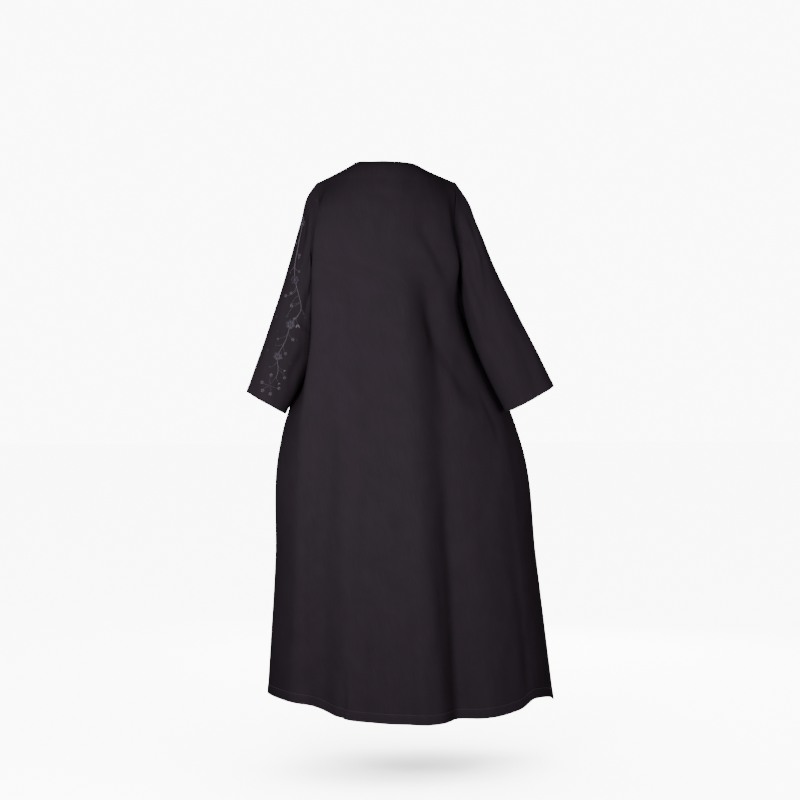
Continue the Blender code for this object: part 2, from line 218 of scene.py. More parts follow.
SLEEVES = {
    LEFT: table(
        "share outer_x outer_drop inner_x inner_drop centre_y half_depth",
        (0.00, 0.170, 0.053, 0.172, 0.272, 0.000, 0.048),
        (0.06, 0.192, 0.082, 0.189, 0.283, -0.005, 0.050),
        (0.20, 0.210, 0.150, 0.184, 0.338, -0.012, 0.052),
        (0.40, 0.240, 0.262, 0.181, 0.430, -0.020, 0.051),
        (0.60, 0.275, 0.372, 0.192, 0.508, -0.023, 0.050),
        (0.80, 0.311, 0.478, 0.216, 0.573, -0.020, 0.047),
        (1.00, 0.345, 0.578, 0.250, 0.632, -0.014, 0.045),
    ),
    RIGHT: table(
        "share outer_x outer_drop inner_x inner_drop centre_y half_depth",
        (0.00, 0.183, 0.044, 0.179, 0.272, 0.000, 0.048),
        (0.06, 0.210, 0.082, 0.190, 0.283, 0.012, 0.051),
        (0.20, 0.233, 0.150, 0.197, 0.334, 0.026, 0.051),
        (0.40, 0.279, 0.262, 0.214, 0.412, 0.026, 0.053),
        (0.60, 0.330, 0.366, 0.240, 0.490, 0.037, 0.049),
        (0.80, 0.381, 0.466, 0.272, 0.562, 0.044, 0.047),
        (1.00, 0.428, 0.562, 0.306, 0.628, 0.047, 0.045),
    ),
}

# Large folds: the line of each as (x, drop) points, its half width, and how far it stands out at
# its first and last points
FOLDS = {
    "back": (
        (((0.110, 0.24), (0.120, 0.70), (0.124, 1.40)), 0.036, 0.003, 0.018),
        (((0.158, 0.55), (0.168, 1.00), (0.176, 1.40)), 0.036, -0.004, -0.030),
        (((-0.022, 0.30), (-0.044, 0.60), (-0.062, 1.40)), 0.042, 0.004, 0.014),
        (
            ((-0.052, 0.20), (-0.084, 0.34), (-0.124, 0.55), (-0.138, 0.90), (-0.156, 1.40)),
            0.038,
            -0.010,
            -0.036,
        ),
        (((-0.072, 0.33), (-0.152, 0.47), (-0.238, 0.65)), 0.028, -0.007, -0.008),
        (((-0.222, 0.90), (-0.262, 1.40)), 0.045, 0.002, 0.012),
    ),
    "front": (
        (((0.085, 0.34), (0.100, 0.80), (0.110, 1.40)), 0.036, 0.002, 0.020),
        (((0.140, 0.60), (0.165, 1.40)), 0.036, -0.003, -0.026),
        (((-0.120, 0.34), (-0.160, 0.80), (-0.195, 1.40)), 0.040, 0.002, 0.020),
        (((-0.215, 0.62), (-0.262, 1.40)), 0.036, -0.003, -0.022),
        (((-0.100, 0.70), (-0.124, 1.40)), 0.030, -0.002, -0.012),
    ),
}

# Creases of the cloth, in millimetres. Each row has four points of its line, each with its place
# across and its drop, then the half width of its left and of its right flank in the direction of
# the line, its height (a trough is negative), and the shares of its length over which it fades in
# and out. A trough also lifts a soft lip beside it.
BODY_CREASES = {
    "back": (
        (-46, 140, -80, 185, -116, 250, -152, 316, 13, 24, -5.4, 0.5, 0.2),
        (-56, 230, -88, 340, -113, 470, -118, 600, 16, 28, -5, 0.4, 0.4),
        (-122, 720, -136, 920, -148, 1160, -154, 1374, 18, 36, -6.0, 0.5, 0.0),
        (-80, 860, -84, 1030, -90, 1210, -96, 1374, 40, 15, 4.5, 0.5, 0.0),
        (-190, 900, -196, 1050, -202, 1210, -206, 1374, 30, 40, -6.5, 0.5, 0.0),
        (-68, 352, -110, 430, -148, 505, -208, 610, 16, 28, -5.5, 0.4, 0.3),
        (-110, 350, -148, 420, -190, 500, -252, 600, 16, 18, -3, 0.4, 0.4),
        (103, 480, 103, 640, 102, 840, 106, 1100, 20, 10, -3, 0.4, 0.5),
        (98, 120, 104, 220, 102, 330, 105, 470, 16, 22, -2.2, 0.4, 0.4),
        (60, 80, 20, 96, -24, 100, -66, 86, 12, 12, -1.4, 0.4, 0.4),
        (10, 560, 4, 700, -6, 860, -4, 1060, 20, 26, -1.8, 0.5, 0.5),
        (-12, 1060, -22, 1180, -26, 1280, -30, 1374, 18, 16, -2.6, 0.6, 0.0),
        (52, 980, 50, 1120, 56, 1260, 60, 1374, 18, 22, -3, 0.6, 0.0),
        (-172, 560, -182, 700, -192, 880, -204, 1100, 24, 46, -6.5, 0.4, 0.5),
        (-210, 860, -226, 980, -242, 1160, -256, 1374, 18, 28, -2.6, 0.5, 0.0),
        (-292, 800, -312, 960, -330, 1140, -344, 1320, 16, 20, -3.5, 0.5, 0.1),
        (196, 800, 202, 960, 206, 1140, 212, 1330, 14, 22, -3.4, 0.5, 0.1),
        (146, 540, 150, 680, 152, 840, 156, 1040, 30, 22, -4, 0.4, 0.5),
        (150, 300, 152, 400, 158, 500, 170, 600, 14, 16, -2.6, 0.4, 0.4),
        (176, 600, 186, 650, 198, 720, 204, 800, 8, 14, -2.6, 0.4, 0.5),
        (-226, 560, -250, 610, -274, 670, -286, 740, 9, 15, -3.2, 0.4, 0.5),
        (128, 1240, 130, 1290, 133, 1335, 138, 1374, 6, 6, -4, 0.6, 0.0),
        (116, 1250, 118, 1295, 121, 1335, 126, 1374, 6, 6, 3.2, 0.6, 0.0),
    ),
    "front": (
        (128, 190, 106, 250, 92, 330, 86, 430, 12, 18, -3.6, 0.4, 0.4),
        (-126, 180, -110, 240, -100, 330, -98, 440, 16, 12, -3.4, 0.4, 0.4),
        (60, 300, 56, 480, 60, 700, 58, 940, 18, 22, -2.4, 0.4, 0.5),
        (62, 940, 68, 1080, 70, 1220, 74, 1350, 20, 14, -4, 0.6, 0.0),
        (-70, 520, -82, 700, -90, 900, -100, 1100, 22, 16, -2.6, 0.5, 0.5),
        (-118, 880, -130, 1040, -140, 1200, -150, 1352, 14, 20, -4.6, 0.6, 0.0),
        (-130, 420, -168, 480, -206, 560, -246, 640, 12, 16, -3.6, 0.4, 0.4),
        (150, 480, 168, 560, 186, 640, 196, 740, 14, 12, -3, 0.4, 0.5),
        (196, 860, 200, 1000, 206, 1160, 212, 1330, 14, 20, -3.4, 0.5, 0.1),
        (-270, 820, -292, 980, -312, 1160, -326, 1340, 18, 14, -3.6, 0.5, 0.1),
        (-200, 1020, -214, 1120, -222, 1240, -230, 1354, 12, 20, -3, 0.6, 0.0),
    ),
}

# On a sleeve the places of the points are distances round from the overarm line, towards the back
# if positive, and distances down from the armhole.
SLEEVE_CREASES = {
    LEFT: (
        (150, 30, 120, 70, 104, 130, 112, 200, 10, 14, -3.4, 0.3, 0.5),
        (196, 110, 166, 150, 142, 210, 128, 290, 10, 16, -4, 0.3, 0.5),
        (186, 230, 152, 262, 118, 284, 80, 300, 9, 14, -3, 0.3, 0.5),
        (170, 330, 140, 372, 124, 430, 118, 500, 12, 12, -3, 0.3, 0.4),
        (60, 30, 52, 80, 56, 140, 66, 210, 14, 18, -1.8, 0.4, 0.5),
        (20, 420, 30, 460, 36, 510, 34, 553, 14, 18, -1.6, 0.6, 0.0),
        (-60, 40, -72, 110, -84, 190, -80, 280, 14, 14, -3, 0.4, 0.5),
        (-170, 150, -140, 200, -110, 240, -70, 262, 12, 10, -4, 0.3, 0.5),
        (-160, 280, -130, 310, -96, 326, -56, 330, 10, 12, -3.4, 0.3, 0.5),
        (-124, 360, -106, 420, -96, 480, -94, 553, 14, 12, -2.6, 0.4, 0.0),
    ),
    RIGHT: (
        (130, 20, 110, 70, 104, 130, 116, 210, 10, 16, -3.6, 0.3, 0.5),
        (52, 40, 62, 120, 84, 210, 98, 310, 18, 24, -3.0, 0.3, 0.5),
        (186, 130, 164, 180, 148, 250, 146, 330, 10, 16, -4.4, 0.3, 0.5),
        (176, 300, 150, 345, 132, 400, 124, 470, 12, 18, -4.2, 0.3, 0.4),
        (74, 360, 68, 420, 70, 480, 78, 560, 16, 22, -3, 0.5, 0.0),
        (28, 230, 34, 310, 30, 400, 20, 480, 18, 24, -2.2, 0.5, 0.5),
        (-56, 50, -70, 120, -78, 200, -70, 290, 14, 14, -3, 0.4, 0.5),
        (-176, 160, -146, 212, -112, 246, -70, 268, 12, 10, -4.2, 0.3, 0.5),
        (-160, 290, -128, 316, -94, 330, -52, 340, 10, 12, -3.4, 0.3, 0.5),
        (-110, 380, -94, 430, -88, 490, -90, 560, 14, 12, -2.8, 0.4, 0.0),
    ),
}
LIP_SHARE = 0.35
LIP_AWAY = 1.9

# Slight unevenness all over: height, wavelengths across and down, and phase. Each wave wanders by
# a share of its wavelength, and starts across at a multiple of its phase.
UNEVEN_WAVES = (
    (0.0005, 0.094, 0.61, 0.4),
    (0.0003, 0.051, 0.37, 1.7),
    (0.0001, 0.029, 0.23, 3.1),
)
WAVE_WANDER = 0.35
ACROSS_PHASES = 2.3

# Narrow flutes towards the hem: height, length up from the hem, width of one, and how they wander
FLUTE_HEIGHT = 0.0012
FLUTE_LENGTH = 0.42
FLUTE_WIDTH = 0.067
FLUTE_WANDER = 0.12
FLUTE_WANDER_RATE = 9

# Embroidery of the left sleeve, drawn flat as (round, down): distances round from the overarm
# line, towards the back, and down the sleeve from the shoulder tip. The chart of the sleeve has
# even steps and reaches equally far both ways round.
CHART_STEP = 0.002
CHART_REACH = 0.156
STEM = (
    (0.018, 0.090),
    (0.026, 0.130),
    (0.030, 0.170),
    (0.035, 0.210),
    (0.050, 0.252),
    (0.072, 0.286),
    (0.087, 0.320),
    (0.073, 0.360),
    (0.072, 0.404),
    (0.065, 0.446),
    (0.078, 0.486),
    (0.069, 0.522),
)
STEM_STEPS = 24
STEM_SIDES = 8
STEM_TIP_WIDTH = 0.7
TWIG_WIDTH = 0.6
TWIG_TIP_WIDTH = 0.42

# Twigs: where each leaves the stem, counted in the points above, its turn away in degrees
# (towards the back if positive), its reach and bend, what is at its end, and the size of that
LEAF, BUD, BLOSSOM, FAINT_BLOSSOM = range(4)
TWIGS = (
    (0.2, -34, 0.018, 0.003, LEAF, 0.0036),
    (1.4, -40, 0.017, 0.003, BUD, 0.0034),
    (2.1, 36, 0.022, -0.003, BLOSSOM, 0.0038),
    (2.4, 48, 0.014, 0.002, BUD, 0.0034),
    (3.0, -34, 0.024, 0.004, LEAF, 0.0038),
    (3.2, 44, 0.021, -0.003, BLOSSOM, 0.0036),
    (4.4, -62, 0.022, 0.003, BLOSSOM, 0.0044),
    (4.6, -84, 0.036, 0.005, BLOSSOM, 0.0044),
    (5.0, -50, 0.032, -0.004, BLOSSOM, 0.0046),
    (5.4, -92, 0.022, 0.003, LEAF, 0.0040),
    (5.5, -58, 0.048, -0.006, FAINT_BLOSSOM, 0.0048),
    (5.9, 44, 0.014, 0.001, FAINT_BLOSSOM, 0.0042),
    (6.3, -6, 0.016, 0.002, BLOSSOM, 0.0042),
    (6.4, 44, 0.020, -0.002, BUD, 0.0072),
    (7.4, 44, 0.024, -0.003, BLOSSOM, 0.0046),
    (7.6, -48, 0.026, 0.003, BUD, 0.0034),
    (8.1, -42, 0.024, 0.003, FAINT_BLOSSOM, 0.0038),
    (8.2, 40, 0.024, -0.003, BLOSSOM, 0.0042),
    (8.6, 34, 0.018, 0.002, BUD, 0.0040),
    (9.3, -54, 0.024, 0.003, FAINT_BLOSSOM, 0.0044),
    (9.5, 42, 0.020, -0.003, BUD, 0.0042),
    (9.8, 40, 0.026, 0.003, BLOSSOM, 0.0042),
    (10.2, 46, 0.018, -0.002, BUD, 0.0040),
    (10.9, -150, 0.024, 0.002, BLOSSOM, 0.0044),
    (10.95, -76, 0.022, 0.002, BLOSSOM, 0.0046),
    (11.0, -22, 0.021, -0.002, BLOSSOM, 0.0048),
    (11.0, 40, 0.021, 0.002, BLOSSOM, 0.0046),
    (10.95, 104, 0.024, -0.002, BLOSSOM, 0.0044),
)

# Blossoms by themselves in the darker thread: place, radius, petals and turn
LOOSE_BLOSSOMS = (
    (0.036, 0.046, 0.0038, 3, 0.6),
    (0.060, 0.214, 0.0034, 4, 0.3),
    (0.010, 0.262, 0.0040, 5, 0.9),
    (0.026, 0.352, 0.0044, 4, 0.2),
    (0.046, 0.386, 0.0040, 5, 0.5),
    (0.104, 0.334, 0.0042, 4, 0.7),
    (0.100, 0.392, 0.0038, 4, 0.1),
    (0.034, 0.438, 0.0042, 5, 1.1),
    (-0.012, 0.176, 0.0040, 5, 0.4),
    (-0.008, 0.330, 0.0044, 5, 0.0),
    (0.102, 0.452, 0.0038, 4, 0.6),
    (0.008, 0.486, 0.0042, 4, 0.8),
)

# Full round blossoms: place, radius and turn
ROSES = (
    (0.024, 0.112, 0.0090, 0.2),
    (0.050, 0.252, 0.0102, 0.7),
    (0.072, 0.361, 0.0115, 0.4),
    (0.065, 0.446, 0.0104, 1.0),
)
ROSE_PETALS = 6
ROSE_FULLNESS = 1.9
ROSE_HEIGHT = 1.1
ROSE_KNOT_SIZE = 0.3
ROSE_KNOT_HEIGHT = 2.2

# Light lines on them: width, and as shares of the blossom's radius how far out the rims of the
# petals are centred, and the radii of a rim and of the coil inside. Arcs are in radians.
RIM_WIDTH = 0.0009
RIM_PLACE = 0.60
RIM_RADIUS = 0.38
RIM_ARC = (-1.5, 1.2)
COIL_RADIUS = 0.34
COIL_STARTS = (0.0, 2.1, 4.2)
COIL_ARC = 1.7

# Pads of satin stitch, as shares of the blossom's radius or of the size of what ends a twig. A
# leaf is two pads, each with its turn and its length, and a bud two with equal turns away.
TWIG_PETALS = 5
PETAL_FULLNESS = 1.3
PETAL_ROOT = 0.14
PETAL_LENGTH = 0.86
PETAL_NARROWING = 0.6
NARROWING_POWER = 1.5
LEAF_PADS = ((-0.6, 2.0), (0.35, 2.4))
LEAF_NARROWING = (0.3, 0.75)
BUD_TURNS = (-0.5, 0.5)
BUD_LENGTH = 1.5
BUD_WIDTH = 0.8
BUD_NARROWING = (0.3, 0.5)
KNOT_SIZE = 0.5
KNOT_HEIGHT = 1.6

# Thread, in shares: the depth of its underside against its top, what is added to a line's height
# where it is thin, its width at its pointed ends and their length, the height of lines against
# pads, and of a sewing stitch against its width
UNDERSIDE = 0.3
THIN_HEIGHT = 0.35
POINT_WIDTH = 0.3
POINT_LENGTH = 0.1
LINE_HEIGHT = 0.8
STITCH_HEIGHT = 0.4
BEAD_SEGMENTS, BEAD_RINGS = 8, 6

# Surfaces: sizes of the patches and streaks of dye, and of the crepe's pebbles and slack, and the
# gap between strands of thread. Real pebbles are about 0.6 mm across and real strands 0.4 mm
# apart. They are drawn larger to show at this distance.
DYE_PATCH = 0.055
STREAK_WIDTH = 0.0032
STREAK_LENGTH = 0.060
PEBBLE_SIZE = 0.0024
SLACK_SIZE = 0.030
STRAND_GAP = 0.00158
SHADE_PATCH = 0.006
STITCH_TEXTURE_SIZE = 0.0005
NOISE_LOW, NOISE_HIGH = 0.3, 0.7

# Camera: degrees round from straight behind towards the wearer's left, distance, place beside
# and drop. The focal length is 1581 pixels of a picture 800 wide.
CAMERA_TURN = 10
CAMERA_DISTANCE = 4.0
CAMERA_BESIDE = 0.040
CAMERA_DROP = 0.598
SENSOR_WIDTH = 36
FOCAL_PIXELS, PICTURE_PIXELS = 1581, 800

# Softboxes as (name, share of the power, width, metres towards the camera, beside, up), and the
# drop of the point that they are aimed at
SOFTBOXES = (
    ("main_softbox", 1.0, 0.6, 1.55, -0.46, -0.40),
    ("side_softbox", 0.44, 1.2, 1.3, 1.9, -0.4),
    ("front_softbox", 2.4, 1.4, -2.4, 0.6, -0.2),
)
LIGHTS_AIM_DROP = 0.65
FLOOR_LAMP_DEGREES = 120


def read(rows, column, at):
    """A smooth curve through one column of a table, level beyond its ends."""
    names = list(rows)
    levels, values = rows[names[0]], rows[column]
    slopes = np.gradient(values, levels)
    at = np.clip(at, levels[0], levels[-1])
    i = np.clip(np.searchsorted(levels, at) - 1, 0, len(levels) - 2)
    step = levels[i + 1] - levels[i]
    t = (at - levels[i]) / step
    return hermite(values[i], values[i + 1], slopes[i] * step, slopes[i + 1] * step, t)


def hermite(a, b, out_of_a, into_b, t):
    """The cubic from a to b with those end slopes."""
    return (
        a * (1 + 2 * t) * (1 - t) ** 2
        + out_of_a * t * (1 - t) ** 2
        + b * t * t * (3 - 2 * t)
        + into_b * t * t * (t - 1)
    )


def smooth_step(t):
    t = np.clip(t, 0.0, 1.0)
    return t * t * (3 - 2 * t)


def length_of(v):
    return np.linalg.norm(v, axis=-1, keepdims=True)


def unit(v):
    return v / np.maximum(length_of(v), 1e-12)


def arc_lengths(points):
    """Distance along each row of points from its first one."""
    steps = np.linalg.norm(np.diff(points, axis=-2), axis=-1)
    return np.concatenate([np.zeros_like(steps[..., :1]), np.cumsum(steps, axis=-1)], axis=-1)


def smooth_line(points, steps=8):
    """Points on a smooth curve through a few given ones."""
    points = np.array(points, float)
    slopes = np.gradient(points, axis=0)
    t = np.linspace(0, len(points) - 1, (len(points) - 1) * steps + 1)
    i = np.minimum(t.astype(int), len(points) - 2)
    return hermite(points[i], points[i + 1], slopes[i], slopes[i + 1], (t - i)[:, None])


def seam_point(side, face, drop):
    """(x, y) of the side seam, or above the armpit of the back or front edge of the armhole."""
    x = side * read(SIDES[side], "seam_x", drop)
    y = read(SIDES[side], "seam_y", drop)
    tip_drop = SHOULDER_TIP[side][1]
    share = (drop - tip_drop) / (ARMPIT_DROP - tip_drop)
    opening = np.sqrt(np.maximum(1 - (2 * share - 1) ** 2, 0.0))
    y = y + opening * (ARMHOLE_BACK_DEPTH if face == "back" else -ARMHOLE_FRONT_DEPTH)
    return np.stack([x, y], axis=-1)


def side_flare(drop):
    """How much the back turns outwards as it comes to the right side seam. It does so just below
    the armpit, where the sleeve covers it as seen from the back."""
    starting = smooth_step((drop - ARMPIT_DROP) / FLARE_START)
    return SIDE_FLARE * starting * smooth_step((FLARE_END_DROP - drop) / FLARE_FADE)


def section(side, face, drop, across):
    """(x, y) at a share of the way from the centre line to the seam of one half of the body."""
    rows = SIDES[side]
    centre = np.stack([read(CENTRE, "x", drop), read(CENTRE, face + "_y", drop)], axis=-1)
    corner_x = side * read(rows, face + "_corner_x", drop)
    corner = np.stack([corner_x, read(rows, face + "_corner_y", drop)], axis=-1)
    seam = seam_point(side, face, drop)
    outwards = np.array([side, 0.0])
    round_the_side = np.array([0.0, -1.0 if face == "back" else 1.0])
    turn = unit(unit(corner - centre) + unit(seam - corner)) * CORNER_SOFTNESS
    to_corner, to_seam = length_of(corner - centre), length_of(seam - corner)
    before = (across / CORNER_SHARE)[..., None]
    after = ((across - CORNER_SHARE) / (1 - CORNER_SHARE))[..., None]
    middle = hermite(centre, corner, outwards * to_corner, turn * to_corner, before)
    if (side, face) == (RIGHT, "back"):
        round_the_side = round_the_side + side_flare(drop)[..., None] * outwards
    into_seam = round_the_side * to_seam * SEAM_SOFTNESS
    side_part = hermite(corner, seam, turn * to_seam, into_seam, after)
    return np.where(before <= 1, middle, side_part)


def top_edge(side, face, across):
    """(x, y, drop) on the neckline, then along the shoulder seam."""
    neck = np.clip(across / NECK_SHARE, 0, 1)
    angle = neck * math.pi / 2
    if face == "back":
        depth, drop = NAPE_DEPTH * np.cos(angle), NAPE_DROP * np.cos(angle) ** 2
    else:
        depth, drop = -FRONT_NECK_DEPTH * np.cos(angle), FRONT_NECK_DROP * (1 - neck) ** FRONT_NECK_POWER
    t = np.clip((across - NECK_SHARE) / (1 - NECK_SHARE), 0, 1)
    tip_x, tip_drop = SHOULDER_TIP[side]
    on_neck = across < NECK_SHARE
    shoulder_x = NECK_HALF_WIDTH + (tip_x - NECK_HALF_WIDTH) * t
    x = np.where(on_neck, NECK_HALF_WIDTH * np.sin(angle), shoulder_x)
    y = np.where(on_neck, depth, 0.0)
    return side * x, y, np.where(on_neck, drop, tip_drop * t**SHOULDER_SLOPE_POWER)


def fold_offset(face, x, drop, across):
    """How far the large folds move the cloth outwards, fading out towards the side seam."""
    total = np.zeros_like(x)
    for line, half_width, first, last in FOLDS[face]:
        xs, drops = np.array(line).T
        along = np.clip((drop - drops[0]) / (drops[-1] - drops[0]), 0.0, 1.0)
        ends = smooth_step((drop - drops[0]) / FOLD_FADE_IN)
        if drops[-1] < HEM_DROP:
            ends = ends * smooth_step((drops[-1] - drop) / FOLD_FADE_OUT)
        away = (x - np.interp(drop, drops, xs)) / half_width
        total += (first + (last - first) * along) * ends * np.exp(-away * away)
    return total * (1 - smooth_step((across - FOLD_REACH) / (1 - FOLD_REACH)))


def row_places(low):
    """Drop of each row of the skirt in every column, from the hem's own drop in it."""
    even = np.linspace(0, 1, SKIRT_ROWS + 1)[1:, None]
    skirt = ARMPIT_DROP + (low - HEM_BAND - ARMPIT_DROP) * even
    hem = low - np.array(HEM_ROWS)[:, None]
    return np.concatenate([skirt, hem])


def half_body(side, face):
    """Points of one half of the back or of the fronts, from its centre line to its side seam,
    with each point's share across and height above the hem."""
    even = np.linspace(0, 1, HALF_COLUMNS + 1)
    shares = np.sort(np.concatenate([even, 1 - np.array(SEAM_COLUMNS)]))
    top_x, top_y, top_drop = top_edge(side, face, shares)
    share = (1 - np.cos(math.pi * np.arange(ARMHOLE_ROWS + 1) / ARMHOLE_ROWS))[:, None] / 2
    upper = top_drop + (ARMPIT_DROP - top_drop) * share
    low = read(HEMS[side], face, shares)
    drop = np.concatenate([upper, row_places(low)])
    across = np.broadcast_to(shares, drop.shape)
    x, y = np.moveaxis(section(side, face, drop, across), -1, 0)
    if face == "front":
        near_centre = np.maximum(1 - shares / NECK_SHARE, 0.0)
        top_x = top_x + side * FRONT_PARTING_TOP / 2 * near_centre
        parting = FRONT_PARTING_TOP + (FRONT_PARTING_HEM - FRONT_PARTING_TOP) * drop / HEM_DROP
        x = x + side * parting / 2 * (1 - across)
    outwards = 1.0 if face == "back" else -1.0
    y = y + outwards * fold_offset(face, x, drop, across)
    near_top = np.minimum((drop - top_drop) / SHOULDER_ROUNDING, 1.0)
    rise = np.sqrt(1 - (1 - near_top) ** 2)
    points = np.stack([top_x + (x - top_x) * rise, top_y + (y - top_y) * rise, -drop], axis=-1)
    return points, across, low - drop


def body_piece(name, face, sides):
    """One piece of the body, its columns from the wearer's right to the left."""
    halves = []
    for side in sides:
        half = half_body(side, face)
        halves.append([a[:, ::-1] for a in half] if side == RIGHT else half)
    if len(halves) == 2:
        right, left = halves
        grid, across, above = (np.concatenate([r[:, :-1], s], 1) for r, s in zip(right, left))
    else:
        grid, across, above = halves[0]
    return {
        "name": name,
        "grid": grid,
        "wraps": False,
        "flip": face == "back",
        "face": face,
        "across": across,
        "above": above,
    }


def armhole_loop(side):
    """The armhole's points: down the back from the shoulder tip, then up the front."""
    back = half_body(side, "back")[0][: ARMHOLE_ROWS + 1, -1]
    front = half_body(side, "front")[0][ARMHOLE_ROWS - 1 : 0 : -1, -1]
    return np.concatenate([back, front])


def sleeve_piece(name, side):
    """Rings of points from the armhole to the cuff."""
    rows = SLEEVES[side]
    loop = armhole_loop(side)
    angles = math.pi * np.arange(len(loop)) / ARMHOLE_ROWS
    tip, armpit = loop[0], loop[ARMHOLE_ROWS]
    middle, half = (tip + armpit) / 2, (tip - armpit) / 2
    depth_way = np.array([0.0, 1.0, 0.0])
    offset = loop - middle
    length = math.dist(*[(rows["outer_x"][k], rows["outer_drop"][k]) for k in (0, -1)])
    cuff = 1 - np.array((CUFF_BAND, *CUFF_RINGS)) / length
    head = np.array(ARMHOLE_RINGS) / length
    shares = np.concatenate([[0], head, np.linspace(0, cuff[0], SLEEVE_RINGS)[1:-1], cuff])
    shares = np.sort(shares)[:, None, None]
    side_way = np.array([side, 0.0, 0.0])
    down = np.array([0.0, 0.0, -1.0])
    outer = read(rows, "outer_x", shares) * side_way + read(rows, "outer_drop", shares) * down
    inner = read(rows, "inner_x", shares) * side_way + read(rows, "inner_drop", shares) * down
    ring_middle, ring_half = (outer + inner) / 2, (outer - inner) / 2
    ring_out = np.cross(unit(ring_half), depth_way)
    centre_y, half_depth = read(rows, "centre_y", shares), read(rows, "half_depth", shares)
    made = smooth_step(shares / SLEEVE_HEAD_SHARE)
    cos, sin = np.cos(angles)[:, None], np.sin(angles)[:, None]
    out_way = np.cross(unit(half), depth_way)
    along = (1 - made) * (offset @ half / (half @ half))[:, None] + made * cos
    depth = (1 - made) * offset[:, 1:2] + made * (centre_y + half_depth * sin)
    bulge = (1 - made) * (offset @ out_way)[:, None]
    grid = ring_middle + along * ring_half + depth * depth_way + bulge * ring_out
    grid += (loop - grid[0]) * (1 - smooth_step(shares / SLEEVE_HEAD_BLEND))
    above = np.broadcast_to((1 - shares[..., 0]) * length, grid.shape[:2])
    return {
        "name": name,
        "grid": grid,
        "wraps": True,
        "flip": side == RIGHT,
        "side": side,
        "above": above,
    }


def corner_normals(piece):
    """The cloth's outward direction at each grid point, weighted by the faces around it."""
    grid, wraps = piece["grid"], piece["wraps"]
    closed = np.concatenate([grid, grid[:, :1]], axis=1) if wraps else grid
    falling = closed[1:, 1:] - closed[:-1, :-1]
    rising = closed[:-1, 1:] - closed[1:, :-1]
    faces = np.cross(falling, rising) * (-1 if piece["flip"] else 1)
    normals = np.zeros_like(closed)
    for rows in (slice(None, -1), slice(1, None)):
        for columns in (slice(None, -1), slice(1, None)):
            normals[rows, columns] += faces
    if wraps:
        normals[:, 0] += normals[:, -1]
        normals = normals[:, :-1]
    return unit(normals)


def edge_places(piece):
    """The grid places of a piece's edge points."""
    rows, columns = piece["grid"].shape[:2]
    places = {(r, c) for r in (0, rows - 1) for c in range(columns)}
    if not piece["wraps"]:
        places |= {(r, c) for r in range(rows) for c in (0, columns - 1)}
    return places


def sew(pieces):
    """Gives the pieces at each seam point one shared offset, so that they meet without a gap."""
    meeting = {}
    for piece in pieces:
        piece["normals"] = corner_normals(piece)
        piece["offsets"] = piece["normals"] * piece["half"][..., None]
        for at in edge_places(piece):
            place = tuple(np.round(piece["grid"][at], SEAM_DECIMALS))
            meeting.setdefault(place, []).append((piece, at))
    for group in meeting.values():
        if len(group) < 2:
            continue
        shared = np.zeros(3)
        for kind in {piece["wraps"] for piece, _ in group}:
            shared += unit(sum(p["normals"][at] for p, at in group if p["wraps"] == kind))
        shared = unit(shared)
        facing = max(min(p["normals"][at] @ shared for p, at in group), MITRE_LIMIT)
        for piece, at in group:
            piece["offsets"][at] = shared * piece["half"][at] / facing


def beside_line(line, at):
    """At each place, how far it is from a line, on which side, and how far along the line."""
    starts, runs = line[:-1], np.diff(line, axis=0)
    lengths = np.linalg.norm(runs, axis=1)
    to = at[..., None, :] - starts
    along = np.clip((to * runs).sum(-1) / lengths**2, 0, 1)
    gap = to - along[..., None] * runs
    nearest = np.argmin((gap**2).sum(-1), axis=-1)[..., None]
    gap = np.take_along_axis(gap, nearest[..., None], -2)[..., 0, :]
    along = np.take_along_axis(along, nearest, -1)[..., 0]
    nearest = nearest[..., 0]
    way = runs[nearest]
    side = np.sign(way[..., 0] * gap[..., 1] - way[..., 1] * gap[..., 0])
    passed = np.concatenate([[0], np.cumsum(lengths)])
    share = (passed[nearest] + along * lengths[nearest]) / passed[-1]
    return np.linalg.norm(gap, axis=-1) * side, share


def crease_offset(creases, at):
    """How far the creases move the cloth outwards at each place."""
    total = np.zeros(at.shape[:-1])
    for *places, left_width, right_width, height, fade_in, fade_out in creases:
        points = np.reshape(places, (4, 2)) * MILLIMETRE
        away, share = beside_line(smooth_line(points), at)
        ends = smooth_step(share / fade_in)
        if fade_out:
            ends = ends * smooth_step((1 - share) / fade_out)
        width = np.where(away < 0, left_width, right_width) * MILLIMETRE
        lip_width = max(left_width, right_width) * MILLIMETRE
        lip = np.exp(-(((np.abs(away) - LIP_AWAY * width) / lip_width) ** 2)) * LIP_SHARE
        total += height * MILLIMETRE * ends * (np.exp(-((away / width) ** 2)) - lip)
    return total


def uneven_offset(across, down):
    """Slight unevenness of hanging cloth, as a few long waves that wander."""
    total = np.zeros_like(across)
    for height, width, length, phase in UNEVEN_WAVES:
        wander = WAVE_WANDER * np.sin(2 * math.pi * down / length + phase)
        waves = across / width + wander
        total += height * np.sin(2 * math.pi * waves + ACROSS_PHASES * phase)
    return total


def seam_ridge(distance):
    """Height of the ridge at a distance from a seam, with the dip of the seam itself."""
    dip = 1 - np.exp(-((distance / SEAM_DIP_WIDTH) ** 2))
    return SEAM_RIDGE * dip * np.exp(-((distance / SEAM_RIDGE_WIDTH) ** 2))


def armhole_puff(side, drop):
    """How many times higher the ridge is beside an armhole at a drop."""
    starting = smooth_step((drop - PUFF_START) / (PUFF_FULL - PUFF_START))
    ending = smooth_step((PUFF_END - drop) / (PUFF_END - PUFF_LOW))
    return 1 + (ARMHOLE_PUFF[side] - 1) * starting * ending


